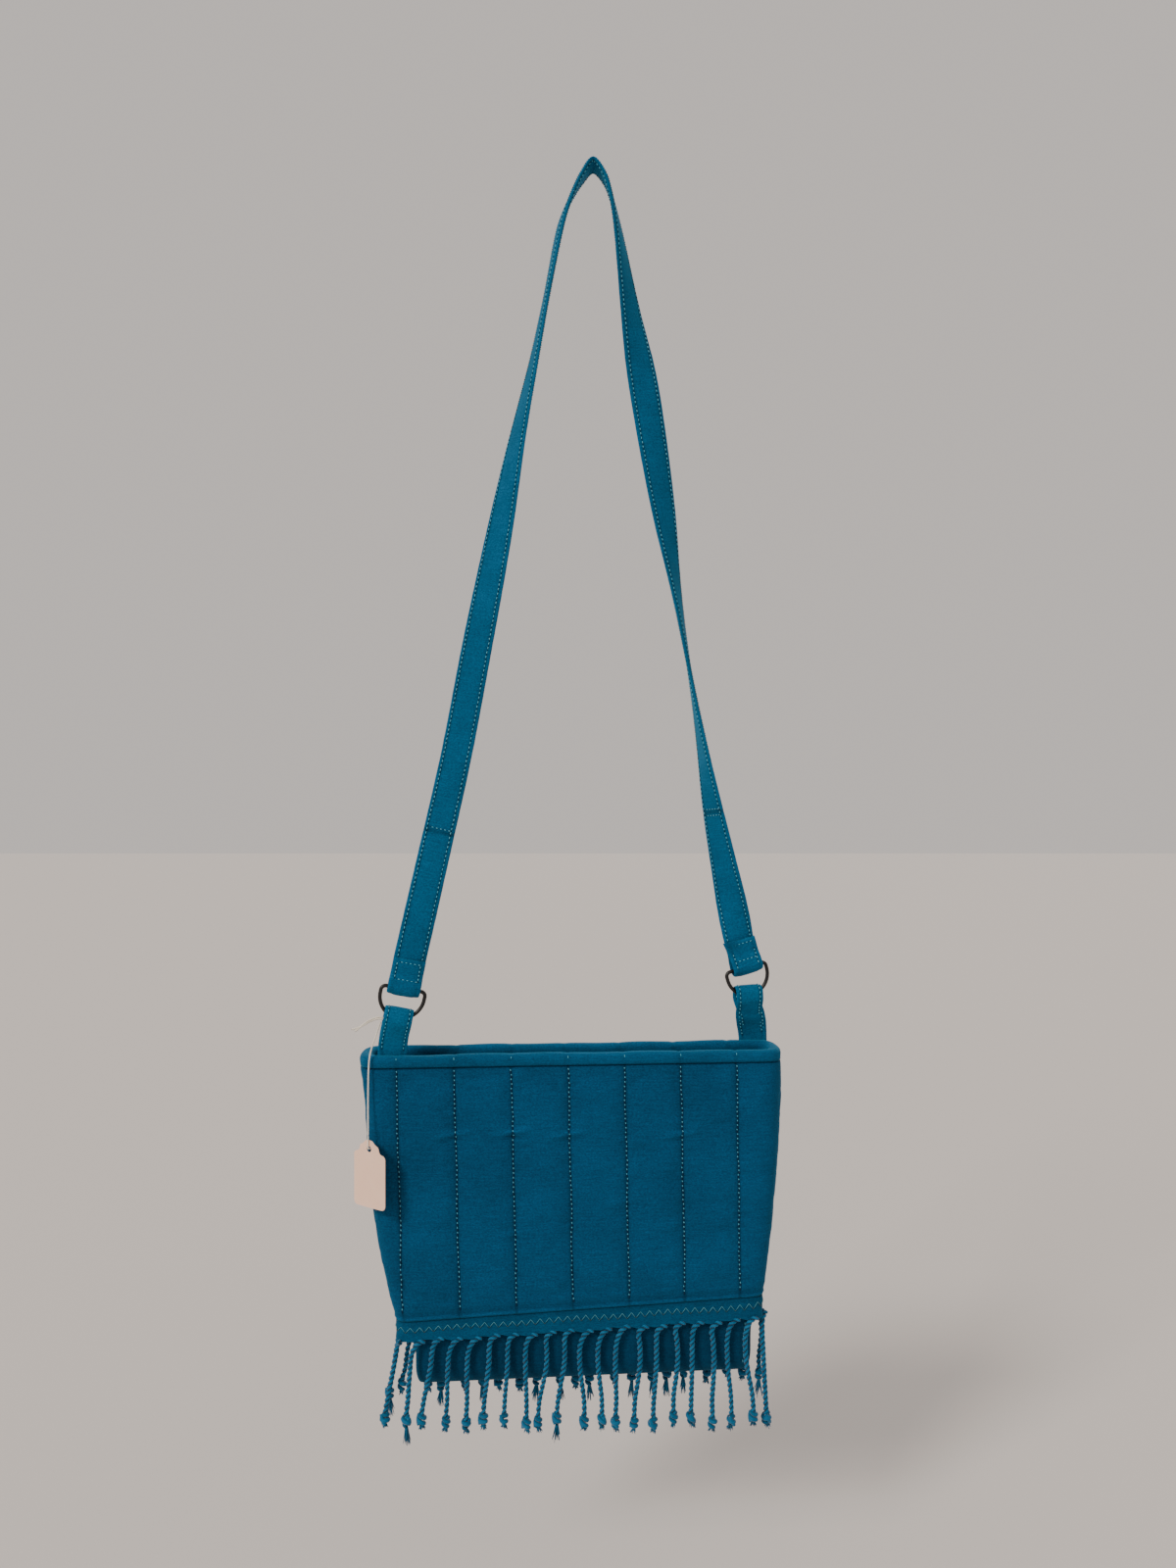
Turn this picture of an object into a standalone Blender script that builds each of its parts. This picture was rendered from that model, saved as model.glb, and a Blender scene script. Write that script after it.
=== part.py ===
# Small fringed shoulder bag of napped woven cloth, hanging by its strap.
# Metres, +Z up. The origin is the point under the strap's top where a hook holds it.
# The camera of the reference picture looks along +Y, and the wall is on the +Y side.

import math
import random

import bmesh
import bpy
from mathutils import Matrix, Vector

# Clearance between pieces that touch
GAP = 0.0003

# Strap: width and thickness of the folded cloth strip
STRAP_WIDTH = 0.022
STRAP_THICK = 0.003
STRAP_LAP = 0.020  # length turned over and sewn at each end
STRAP_LOOP_ROOM = 0.0031  # half the room round the ring's bar, front to back
STRAP_BAR_GAP = 0.0008  # between the bar and the bottom of the strap's loop
STRAP_STEP = 0.017
RIGHT_STRAP_SLIDE = 0.0010  # how far the right end sits from the middle of its bar

# The strap's route, from the hook down: across, height, twist in degrees.
# A twist of 90 is edge-on to the front, 0 and 180 show one face and the other.
HOOK_POINT = (0.0, 0.0, 90)
LEFT_ROUTE = [
    (-0.0078, -0.0075, 86),
    (-0.0205, -0.035, 77),
    (-0.0311, -0.0865, 80),
    (-0.0400, -0.132, 74),
    (-0.0520, -0.189, 57),
    (-0.0647, -0.257, 34),
    (-0.0785, -0.329, 20),
    (-0.0922, -0.402, 18),
    (-0.1084, -0.475, 13),
]
RIGHT_ROUTE = [
    (0.0082, -0.0075, 86),
    (0.0161, -0.035, 77),
    (0.0266, -0.100, 44),
    (0.0358, -0.152, 12),
    (0.0480, -0.2265, 30),
    (0.0595, -0.297, 67),
    (0.0726, -0.373, 86),
    (0.0830, -0.4336, 113),
    (0.0942, -0.489, 140),
]

# Rings: black wire bent to a D, its bar in the strap and its arc in the tab
WIRE_RADIUS = 0.0013
RING_HALF_WIDTH = 0.0148  # wire centre line
RING_STRAIGHT = 0.005
RING_CORNER = 0.003
RING_LEAN = math.radians(13.5)

# Where each tab's fold hangs on its ring
LEFT_PIVOT = Vector((-0.1299, -0.018, -0.5748))
RIGHT_PIVOT = Vector((0.1092, 0.024, -0.567))
RIGHT_TAB_SLIDE = -0.0025  # how far the right tab sits from the middle of its arc

# Tabs: folded cloth strips
TAB_WIDTH = 0.0195
TAB_THICK = 0.0018
TAB_LOOP_ROOM = 0.0038
TAB_WIRE_GAP = 0.0006
TAB_LOOP_DROP = 0.0065
TAB_CLOSE_DROP = 0.014
TAB_SEWN = 0.012  # length sewn to the bag below the rim's top
LEFT_TAB_ALONG = -0.1275
RIGHT_TAB_ALONG = 0.1205

# Bag body, in its own frame: u along its width, v towards its back, drop below the rim
BAG_CENTRE = Vector((-0.0082, 0.003, -0.602))
BAG_YAW = math.radians(4.1)
RIM_HALF_WIDTH = 0.1374
SEAM_HALF_WIDTH = 0.1225
BASE_HALF_WIDTH = 0.112
RIM_HALF_DEPTH = 0.019
SEAM_HALF_DEPTH = 0.0125
BASE_HALF_DEPTH = 0.0082
END_ROUND = 0.014  # length of the rounded ends, along the width
RIM_LEFT_EXTRA = 0.0118  # how far the left end stands out at the rim
LEFT_BULGE = 0.006  # and half way down
PANEL_DROP = 0.171
BODY_DROP = 0.220
WIDTH_TAPER = 1.6
DEPTH_TAPER = 1.2

# Rim binding folded over the panels' edge
BINDING_DROP = 0.0088
BINDING_LEG = 0.0026
STRAIGHT_DROP = BINDING_DROP + 0.001  # the panels stand straight down to here
EDGE_THICK = 0.0024  # panels where they are sewn

# Quilted panels
PANEL_THICK = 0.0045
PANEL_TOP = 0.0036  # the edge inside the binding, below the rim's top
QUILT_FIRST = -0.1245
QUILT_PITCH = 0.0381
QUILT_LINES = 7
QUILT_LEAN = 0.004
QUILT_DEPTH = 0.0011
QUILT_END_ROOM = 0.0015  # the least from a line to a rounded end
PUFF_DROP = 0.004  # over which the panel swells below the binding and thins above its lower seam
SEAM_RIDGE = 0.0008  # how far the lower seam stands proud
SEAM_RIDGE_DROP = 0.002  # and its height
SEAM_THIN = 0.001  # how much thinner the lower edge is

# Fringe band, its cords and their knots
BAND_THICK = 0.0018
BAND_DROP = 0.0135
BAND_WAVE = 0.0007
BAND_BEND = math.radians(18)  # the most that the band turns between two columns
CORDS_PER_BAND = 21
CORD_RADIUS = 0.0014
CORD_LENGTH = 0.052
CORD_LEAN = -0.0026
CORD_OUTWARD = 0.0007
CORD_TWIST = math.radians(55)
CORD_STEPS = 10
KNOT_RADIUS = 0.0025
KNOT_LENGTH = 0.005
TUFT_LENGTH = 0.004
TASSEL_LENGTH = 0.013

# Lower body
BASE_WALL = 0.0023

# Hang tag and its string
TAG_WIDTH = 0.028
TAG_HEIGHT = 0.0445
TAG_THICK = 0.0004
TAG_TURN = math.radians(34)
TAG_HOLE = 0.002
TAG_HOLE_DROP = 0.006
TAG_SHOULDER = 0.008
TAG_AT = Vector((-0.1478, -0.0285, -0.663))
STRING_RADIUS = 0.0006
STRING_STEP = 0.0027
STRING_KNOT_DROP = 0.0085

ALONG = (RIGHT_PIVOT - LEFT_PIVOT).normalized()
BACK = Vector((0, 0, 1)).cross(ALONG).normalized()
UP = ALONG.cross(BACK)


def clear_scene():
    for item in list(bpy.data.objects):
        bpy.data.objects.remove(item, do_unlink=True)


def make_material(name, colour, roughness, metallic=0.0):
    material = bpy.data.materials.new(name)
    material.use_nodes = True
    shader = material.node_tree.nodes["Principled BSDF"]
    shader.inputs["Base Color"].default_value = (*colour, 1.0)
    shader.inputs["Roughness"].default_value = roughness
    shader.inputs["Metallic"].default_value = metallic
    return material


def add_object(name, points, faces, material):
    mesh = bpy.data.meshes.new(name)
    mesh.from_pydata([tuple(p) for p in points], [], faces)
    shape = bmesh.new()
    shape.from_mesh(mesh)
    bmesh.ops.recalc_face_normals(shape, faces=shape.faces)
    shape.to_mesh(mesh)
    shape.free()
    mesh.materials.append(material)
    item = bpy.data.objects.new(name, mesh)
    bpy.context.collection.objects.link(item)
    return item


def add_pivot(name, place):
    pivot = bpy.data.objects.new(name, None)
    pivot.location = place
    bpy.context.collection.objects.link(pivot)
    return pivot


def carry(item, pivot):
    """Parents item to pivot, and leaves it where it is."""
    item.parent = pivot
    item.matrix_parent_inverse = Matrix.Translation(pivot.location).inverted()


def tube_faces(rings, size, closed=False):
    """Faces that join rings of points, each of the given size, with the ends capped unless the rings close."""
    faces = []
    for ring in range(rings if closed else rings - 1):
        here = ring * size
        there = (ring + 1) % rings * size
        for i in range(size):
            j = (i + 1) % size
            faces.append((here + i, here + j, there + j, there + i))
    if not closed:
        faces.append(tuple(range(size)))
        faces.append(tuple(range((rings - 1) * size, rings * size)))
    return faces


def spline(points, step):
    """Points a step apart on a smooth curve through the given ones. A point may hold more values than three."""
    found = []
    for k in range(len(points) - 1):
        before = points[max(k - 1, 0)]
        start, end = points[k], points[k + 1]
        after = points[min(k + 2, len(points) - 1)]
        count = max(1, round(math.dist(start[:3], end[:3]) / step))
        for i in range(count):
            t = i / count
            found.append(
                tuple(
                    0.5 * (2 * b + (c - a) * t + (2 * a - 5 * b + 4 * c - d) * t**2 + (3 * b - a - 3 * c + d) * t**3)
                    for a, b, c, d in zip(before, start, end, after)
                )
            )
    found.append(tuple(points[-1]))
    return found


def sweep(name, path, width, thick, material):
    """A flat strip along path, a list of (point, across). Its edges are chamfered to a ridge."""
    half, flat = width / 2, width / 2 - thick * 0.3
    section = [
        (-half, 0.0),
        (-flat, -thick / 2),
        (flat, -thick / 2),
        (half, 0.0),
        (flat, thick / 2),
        (-flat, thick / 2),
    ]
    points = []
    for k, (place, across) in enumerate(path):
        before = path[max(k - 1, 0)][0]
        after = path[min(k + 1, len(path) - 1)][0]
        tangent = (after - before).normalized()
        side = (across - tangent * across.dot(tangent)).normalized()
        normal = tangent.cross(side)
        points += [place + side * a + normal * b for a, b in section]
    return add_object(name, points, tube_faces(len(path), len(section)), material)


def turned_loop(centre, down, back, radius, lift, steps=6):
    """Half a turn under centre, from its back to its front."""
    hub = centre - down * lift
    turn = [math.pi * i / steps for i in range(steps + 1)]
    return [hub + back * radius * math.cos(a) + down * radius * math.sin(a) for a in turn]


# Ring geometry shared by the rings, the strap's ends and the tabs


def arc_drop(u):
    """How far below the bar the arc's wire lies, at u from the ring's middle."""
    return RING_STRAIGHT + math.sqrt(RING_HALF_WIDTH**2 - u**2)


def arc_seat(slide):
    """Where a tab sits on the arc: (across, down, tilt) of its fold in the ring's plane."""
    half, tilt = TAB_WIDTH / 2, 0.0
    for _ in range(3):
        low, high = slide - half * math.cos(tilt), slide + half * math.cos(tilt)
        tilt = math.atan2(arc_drop(high) - arc_drop(low), high - low)
    return slide, (arc_drop(low) + arc_drop(high)) / 2, tilt


def ring_frame(side, pivot, slide):
    """The ring's bar centre, bar direction and down direction, with the tab's across and down on it."""
    down = -UP * math.cos(RING_LEAN) + ALONG * side * math.sin(RING_LEAN)
    bar = ALONG * math.cos(RING_LEAN) + UP * side * math.sin(RING_LEAN)
    across, drop, tilt = arc_seat(slide)
    centre = pivot - bar * across - down * drop
    fold = bar * math.cos(tilt) + down * math.sin(tilt)
    tab_down = down * math.cos(tilt) - bar * math.sin(tilt)
    return centre, bar, down, fold, tab_down


LEFT_RING = ring_frame(-1, LEFT_PIVOT, 0.0)
RIGHT_RING = ring_frame(1, RIGHT_PIVOT, RIGHT_TAB_SLIDE)
SWING_RISE = (LEFT_RING[0] - LEFT_PIVOT).dot(UP)
# The rings turn about two points at one height above the tabs' common axis
LEFT_RING_AXIS = LEFT_RING[0]
RIGHT_RING_AXIS = RIGHT_RING[0] - UP * ((RIGHT_RING[0] - RIGHT_PIVOT).dot(UP) - SWING_RISE)


def build_ring(name, frame, material):
    """Wire of round section along a D."""
    centre, bar, down = frame[:3]
    route = []
    for i in range(5):
        a = math.pi / 2 * i / 4
        route.append((RING_HALF_WIDTH - RING_CORNER * (1 - math.sin(a)), RING_CORNER * (1 - math.cos(a))))
    for i in range(13):
        a = math.pi * i / 12
        route.append((RING_HALF_WIDTH * math.cos(a), RING_STRAIGHT + RING_HALF_WIDTH * math.sin(a)))
    for i in range(5):
        a = math.pi / 2 * (1 - i / 4)
        route.append((-RING_HALF_WIDTH + RING_CORNER * (1 - math.sin(a)), RING_CORNER * (1 - math.cos(a))))
    places = [centre + bar * u + down * s for u, s in route]
    normal = bar.cross(down)
    size = 8
    points = []
    for k, place in enumerate(places):
        tangent = (places[(k + 1) % len(places)] - places[k - 1]).normalized()
        outward = tangent.cross(normal)
        for i in range(size):
            a = 2 * math.pi * i / size
            points.append(place + outward * WIRE_RADIUS * math.cos(a) + normal * WIRE_RADIUS * math.sin(a))
    return add_object(name, points, tube_faces(len(places), size, closed=True), material)


# Strap


def strap_end(frame, slide):
    """The strap's end in a ring: down behind the bar, under it and up in front, as (point, across)."""
    centre, bar, down = frame[0] + frame[1] * slide, frame[1], frame[2]
    radius = STRAP_LOOP_ROOM + STRAP_THICK / 2
    lift = radius - (WIRE_RADIUS + STRAP_BAR_GAP + STRAP_THICK / 2)
    layer = (STRAP_THICK + GAP) / 2
    turn = turned_loop(centre, down, BACK, radius, lift)
    behind = [
        centre - down * STRAP_LAP + BACK * layer,
        centre - down * (STRAP_LAP * 0.6) + BACK * layer,
        centre - down * (lift + radius * 2.2) + BACK * layer,
        centre - down * (lift + radius * 1.0) + BACK * (radius + layer) / 1.7,
    ]
    front = [p - BACK * 2 * (p - centre).dot(BACK) for p in reversed(behind)]
    return [(p, -bar) for p in behind + turn + front]


def strap_half(route, last, side):
    """Points of one half from the hook to its end loop, as (point, across)."""
    end = last[0][0]
    rows = [(HOOK_POINT[0], 0.0, HOOK_POINT[1] + STRAP_THICK / 2, HOOK_POINT[2])]
    rows += [(x, end.y * z / end.z, z, twist) for x, z, twist in route]
    rows.append((end.x, end.y, end.z, 0 if side < 0 else 180))
    samples = spline(rows, STRAP_STEP)[:-1]
    found = []
    for k, sample in enumerate(samples):
        place = Vector(sample[:3])
        after = Vector(samples[k + 1][:3]) if k + 1 < len(samples) else end
        before = Vector(samples[max(k - 1, 0)][:3])
        tangent = (after - before).normalized() * -side
        if k == 0:
            tangent = Vector((1, 0, 0))
        share = place.z / end.z
        facing = (Vector((0, 1, 0)) * (1 - share) + BACK * share).normalized()
        inward = facing.cross(tangent).normalized()
        backward = tangent.cross(inward)
        twist = math.radians(sample[3])
        found.append((place, inward * math.cos(twist) + backward * math.sin(twist)))
    return found


def build_strap(material):
    left_end = strap_end(LEFT_RING, 0.0)
    right_end = strap_end(RIGHT_RING, RIGHT_STRAP_SLIDE)
    left = strap_half(LEFT_ROUTE, left_end, -1)
    right = strap_half(RIGHT_ROUTE, right_end, 1)
    # The route down the right half runs the other way along the strap
    path = list(reversed(left_end)) + list(reversed(left)) + right[1:] + right_end
    return sweep("strap", path, STRAP_WIDTH, STRAP_THICK, material)


# Bag body


def bag_point(u, v, drop):
    """World place of a point of the bag's own frame."""
    c, s = math.cos(BAG_YAW), math.sin(BAG_YAW)
    return BAG_CENTRE + Vector((u * c - v * s, u * s + v * c, -drop))


def body_size(drop):
    """(half width to the right, half width to the left, half depth) of the panels' outside at a drop."""
    t = min(max((drop - STRAIGHT_DROP) / (PANEL_DROP - STRAIGHT_DROP), 0.0), 1.0)
    width = RIM_HALF_WIDTH + (SEAM_HALF_WIDTH - RIM_HALF_WIDTH) * t**WIDTH_TAPER
    depth = RIM_HALF_DEPTH + (SEAM_HALF_DEPTH - RIM_HALF_DEPTH) * t**DEPTH_TAPER
    extra = RIM_LEFT_EXTRA * (1 - t) ** 4 + LEFT_BULGE * math.sin(math.pi * t)
    return width, width + extra, depth


def base_size(drop):
    """The same for the outside of the lower body."""
    recess = BAND_THICK + 2 * GAP
    t = min(max((drop - PANEL_DROP) / (BODY_DROP - PANEL_DROP), 0.0), 1.0)
    width = SEAM_HALF_WIDTH - recess + (BASE_HALF_WIDTH - SEAM_HALF_WIDTH + recess) * min(2 * t, 1.0) ** 0.7
    depth = SEAM_HALF_DEPTH - recess + (BASE_HALF_DEPTH - SEAM_HALF_DEPTH + recess) * t
    rounding = max(0.0, (t - 0.72) / 0.28)
    width -= BASE_HALF_DEPTH * 0.5 * (1 - math.sqrt(max(0.0, 1 - rounding**2)))
    depth *= math.sqrt(max(0.02, 1 - rounding**2))
    return width, width, depth


def outline(size, inset, columns):
    """Points (u, v) on a section of the bag. A column is (part, value): an angle on an end, or a place along the run."""
    right, left, depth = size
    end, deep = END_ROUND - inset, depth - inset
    found = []
    for part, value in columns:
        if part == "run":
            along, side = value
            found.append((along, side * deep))
        else:
            reach, swing = (left, -1) if part == "left" else (right, 1)
            c, s = math.cos(value), math.sin(value)
            found.append(
                (
                    swing * (reach - END_ROUND + end * abs(c) ** 0.7),
                    math.copysign(deep * abs(s) ** 0.7, s),
                )
            )
    return found


def quilt_at(number, drop):
    return QUILT_FIRST + QUILT_PITCH * number + QUILT_LEAN * drop / PANEL_DROP


def run_places(size, drop):
    """Places along the bag's width between its rounded ends, with the share of a line's pull on each."""
    right, left, _ = size
    start, edge = -(left - END_ROUND), right - END_ROUND
    low, high = start + QUILT_END_ROOM, edge - QUILT_END_ROOM
    lines = [min(max(quilt_at(number, drop), low), high) for number in range(QUILT_LINES)]
    places = [(start, 0.0), (lines[0], 1.0)]
    for before, here in zip(lines, lines[1:]):
        places += [(before + (here - before) * share, 0.0) for share in (0.3, 0.7)]
        places.append((here, 1.0))
    places += [((lines[-1] + edge) / 2, 0.0), (edge, 0.0)]
    return places


END_ANGLES = [math.radians(a) for a in (0, 22, 45, 68)]


def panel_columns(size, drop, side):
    """Columns from the left seam over the front or back (side -1 or 1) to the right seam."""
    columns = [("left", side * a) for a in END_ANGLES]
    columns += [("run", (u, side)) for u, _ in run_places(size, drop)]
    columns += [("right", side * a) for a in reversed(END_ANGLES)]
    pull = [0.0] * len(END_ANGLES) + [p for _, p in run_places(size, drop)] + [0.0] * len(END_ANGLES)
    return columns, pull


def build_panel(name, side, material):
    """A quilted panel with its two faces, thinned where it is sewn."""
    edge_inset = BINDING_LEG + GAP
    rows = [
        (PANEL_TOP, edge_inset, EDGE_THICK, 0.0),
        (STRAIGHT_DROP, edge_inset, EDGE_THICK, 0.0),
        (STRAIGHT_DROP + PUFF_DROP, 0.0, PANEL_THICK, 1.0),
        (PANEL_DROP * 0.28, 0.0, PANEL_THICK, 1.0),
        (PANEL_DROP * 0.52, 0.0, PANEL_THICK, 1.0),
        (PANEL_DROP * 0.76, 0.0, PANEL_THICK, 1.0),
        (PANEL_DROP - PUFF_DROP, 0.0, PANEL_THICK, 1.0),
        (PANEL_DROP - SEAM_RIDGE_DROP, -SEAM_RIDGE, PANEL_THICK + SEAM_RIDGE, 0.3),
        (PANEL_DROP - GAP, 0.0, PANEL_THICK - SEAM_THIN, 0.3),
    ]
    outer, inner = [], []
    for drop, inset, thick, puff in rows:
        size = body_size(drop)
        columns, pull = panel_columns(size, drop, side)
        seam = GAP / 2 * side
        outside = outline(size, inset, columns)
        pulled = outline(size, inset + QUILT_DEPTH * puff, columns)
        inside = outline(size, inset + thick, columns)
        for k in range(len(columns)):
            u, v = pulled[k] if pull[k] else outside[k]
            if k in (0, len(columns) - 1):
                v += seam
            outer.append(bag_point(u, v, drop))
            u, v = inside[k]
            if k in (0, len(columns) - 1):
                v += seam
            inner.append(bag_point(u, v, drop))
    wide = len(columns)
    points = outer + inner
    back = len(outer)
    faces = []
    for row in range(len(rows) - 1):
        for k in range(wide - 1):
            a = row * wide + k
            faces.append((a, a + 1, a + wide + 1, a + wide))
            faces.append((back + a, back + a + wide, back + a + wide + 1, back + a + 1))
        for a in (row * wide, row * wide + wide - 1):
            faces.append((a, a + wide, back + a + wide, back + a))
    last = (len(rows) - 1) * wide
    for k in range(wide - 1):
        faces.append((k, k + 1, back + k + 1, back + k))
        faces.append((last + k, last + k + 1, back + last + k + 1, back + last + k))
    return add_object(name, points, faces, material)


def loop_columns(size, drop):
    """Columns all round the bag, with the share of a line's pull on each."""
    front, front_pull = panel_columns(size, drop, -1)
    rear, rear_pull = panel_columns(size, drop, 1)
    return front + rear[-2:0:-1], front_pull + rear_pull[-2:0:-1]


def build_binding(material):
    """A padded strip folded over the panels' top edge, all round the mouth."""
    slot = EDGE_THICK / 2 + GAP
    half = slot + BINDING_LEG
    section = [
        (half - 0.0003, BINDING_DROP),
        (half, BINDING_DROP * 0.55),
        (half * 0.72, 0.0012),
        (0.0, 0.0),
        (-half * 0.72, 0.0012),
        (-half, BINDING_DROP * 0.55),
        (-half + 0.0003, BINDING_DROP),
        (-slot, BINDING_DROP),
        (-slot, PANEL_TOP - GAP),
        (slot, PANEL_TOP - GAP),
        (slot, BINDING_DROP),
    ]
    size = body_size(0.0)
    columns, pull = loop_columns(size, 0.0)
    rings = [outline(size, half - out, columns) for out, _ in section]
    points = []
    for k in range(len(columns)):
        for i, (out, drop) in enumerate(section):
            dip = 0.0006 * pull[k] if i in (2, 3, 4) else 0.0
            u, v = rings[i][k]
            points.append(bag_point(u, v, drop + dip))
    return add_object("rim_binding", points, tube_faces(len(columns), len(section), closed=True), material)


def round_columns(size, drop, count):
    """Columns all round the lower body, evenly along its two runs."""
    right, left, _ = size
    low, high = -(left - END_ROUND), right - END_ROUND
    run = [low + (high - low) * i / count for i in range(count + 1)]
    columns = [("left", -a) for a in END_ANGLES] + [("run", (u, -1)) for u in run]
    columns += [("right", -a) for a in reversed(END_ANGLES)] + [("right", a) for a in END_ANGLES[1:]]
    columns += [("run", (u, 1)) for u in reversed(run)] + [("left", a) for a in reversed(END_ANGLES[1:])]
    return columns


def build_lower_body(material):
    """A pouch open at its top, with a rounded bottom edge."""
    outer_drops = [PANEL_DROP + share * (BODY_DROP - PANEL_DROP) for share in (0.0, 0.3, 0.62, 0.8, 0.92, 1.0)]
    inner_drops = [PANEL_DROP + share * (BODY_DROP - PANEL_DROP) for share in (0.0, 0.3, 0.62, 0.86)]
    points, starts = [], []
    for drops, inset in ((outer_drops, 0.0), (inner_drops, BASE_WALL)):
        for drop in drops:
            size = base_size(drop)
            starts.append(len(points))
            points += [bag_point(u, v, drop) for u, v in outline(size, inset, round_columns(size, drop, 9))]
    wide = starts[1]
    outside, inside = starts[: len(outer_drops)], starts[len(outer_drops) :]
    faces = []
    for rows in (outside, inside):
        for a, b in zip(rows, rows[1:]):
            faces += [(a + k, a + (k + 1) % wide, b + (k + 1) % wide, b + k) for k in range(wide)]
        faces.append(tuple(rows[-1] + k for k in range(wide)))
    top, under = outside[0], inside[0]
    faces += [(top + k, top + (k + 1) % wide, under + (k + 1) % wide, under + k) for k in range(wide)]
    return add_object("lower_body", points, faces, material)


# Fringe


def band_route(side):
    """Points (u, v) along the middle of a fringe band, from the left seam to the right one."""
    size = base_size(PANEL_DROP)
    right, left, _ = size
    columns = [("left", side * math.radians(a)) for a in range(0, 90, 6)]
    columns += [("run", (-(left - END_ROUND), side)), ("run", (right - END_ROUND, side))]
    columns += [("right", side * math.radians(a)) for a in range(84, -1, -6)]
    return [Vector((u, v)) for u, v in outline(size, -(GAP + BAND_THICK / 2), columns)]


def along_route(route, length):
    """The place at a length along a route, and its outward direction."""
    for a, b in zip(route, route[1:]):
        piece = (b - a).length
        if length <= piece or b is route[-1]:
            way = (b - a) / piece
            return a + way * min(length, piece), way
        length -= piece


def add_bends(cuts, route, end):
    """Adds cuts between the last one and end where the route turns, so that the band follows it."""
    start = cuts[-1]
    turn = along_route(route, start)[1].angle(along_route(route, end)[1])
    count = math.ceil(turn / BAND_BEND)
    cuts += [start + (end - start) * i / count for i in range(1, count)]


def cord_ring(place, radius, flat, turn, way, drop):
    """Four points of a cord's section at a drop."""
    outward = Vector((way.y, -way.x))
    ring = []
    for i in range(4):
        a = math.pi / 4 + math.pi / 2 * i + turn
        # Two plies side by side make the section wider one way, and the twist turns it
        long, short = radius * math.cos(a), radius * flat * math.sin(a)
        at = place + way * long + outward * short
        ring.append(bag_point(at.x, at.y, drop))
    return ring


def cord_rings(start, way, outward, top, chance):
    """Sections of one cord from its band down to the end of its tuft."""
    lean = CORD_LEAN + chance.uniform(-0.0015, 0.0015)
    length = CORD_LENGTH * chance.uniform(0.97, 1.03)
    tail = TASSEL_LENGTH if chance.random() < 0.3 else TUFT_LENGTH
    rings = []
    for step in range(1, CORD_STEPS + 1):
        share = step / CORD_STEPS
        place = start + Vector((lean * share, 0.0)) + outward * CORD_OUTWARD
        rings.append(cord_ring(place, CORD_RADIUS, 0.85, CORD_TWIST * (step - 1), way, top + length * share))
    turn = CORD_TWIST * (CORD_STEPS - 1)
    foot = top + length
    rings.append(cord_ring(place, KNOT_RADIUS, 1.0, turn, way, foot + KNOT_LENGTH * 0.35))
    rings.append(cord_ring(place, KNOT_RADIUS * 0.9, 1.0, turn, way, foot + KNOT_LENGTH * 0.75))
    rings.append(cord_ring(place, CORD_RADIUS * 0.75, 1.0, turn, way, foot + KNOT_LENGTH))
    end = place + Vector((chance.uniform(-0.001, 0.001), 0.0))
    rings.append(cord_ring(end, CORD_RADIUS * 1.35, 0.8, turn, way, foot + KNOT_LENGTH + tail))
    return rings


def build_fringe(name, side, seed, material):
    """A woven band with the warp's twisted ends growing out of its lower edge, each knotted near its tip."""
    chance = random.Random(seed)
    route = band_route(side)
    total = sum((b - a).length for a, b in zip(route, route[1:]))
    pitch = total / CORDS_PER_BAND
    cuts, starts = [GAP], []
    for number in range(CORDS_PER_BAND):
        middle = pitch * (number + 0.5)
        add_bends(cuts, route, middle - CORD_RADIUS)
        starts.append(len(cuts))
        cuts += [middle - CORD_RADIUS, middle + CORD_RADIUS]
    add_bends(cuts, route, total - GAP)
    cuts.append(total - GAP)
    top = PANEL_DROP + GAP / 2
    points, ways = [], []
    for k, cut in enumerate(cuts):
        place, way = along_route(route, cut)
        outward = Vector((way.y, -way.x)) * -side
        low = top + BAND_DROP + BAND_WAVE * math.sin(2 * math.pi * cut / (3.3 * pitch))
        for out, drop in ((0.5, top), (0.5, low), (-0.5, low), (-0.5, top)):
            at = place + outward * BAND_THICK * out
            points.append(bag_point(at.x, at.y, drop))
        ways.append((place, way, outward, low))
    faces = []
    for k in range(len(cuts) - 1):
        a, b = 4 * k, 4 * k + 4
        for i in range(4):
            j = (i + 1) % 4
            if i == 1 and k in starts:
                continue
            faces.append((a + i, a + j, b + j, b + i))
    faces.append((0, 1, 2, 3))
    last = 4 * (len(cuts) - 1)
    faces.append((last, last + 1, last + 2, last + 3))
    for k in starts:
        a, b = 4 * k, 4 * k + 4
        start = (ways[k][0] + ways[k + 1][0]) / 2
        way, outward = ways[k][1], ways[k][2]
        ring = [b + 1, a + 1, a + 2, b + 2]
        for places in cord_rings(start, way, outward, ways[k][3], chance):
            if side > 0:
                places = [places[3], places[2], places[1], places[0]]
            base = len(points)
            points += places
            after = [base, base + 1, base + 2, base + 3]
            faces += [(ring[i], ring[(i + 1) % 4], after[(i + 1) % 4], after[i]) for i in range(4)]
            ring = after
        faces.append(tuple(ring))
    return add_object(name, points, faces, material)


# Tabs


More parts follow.
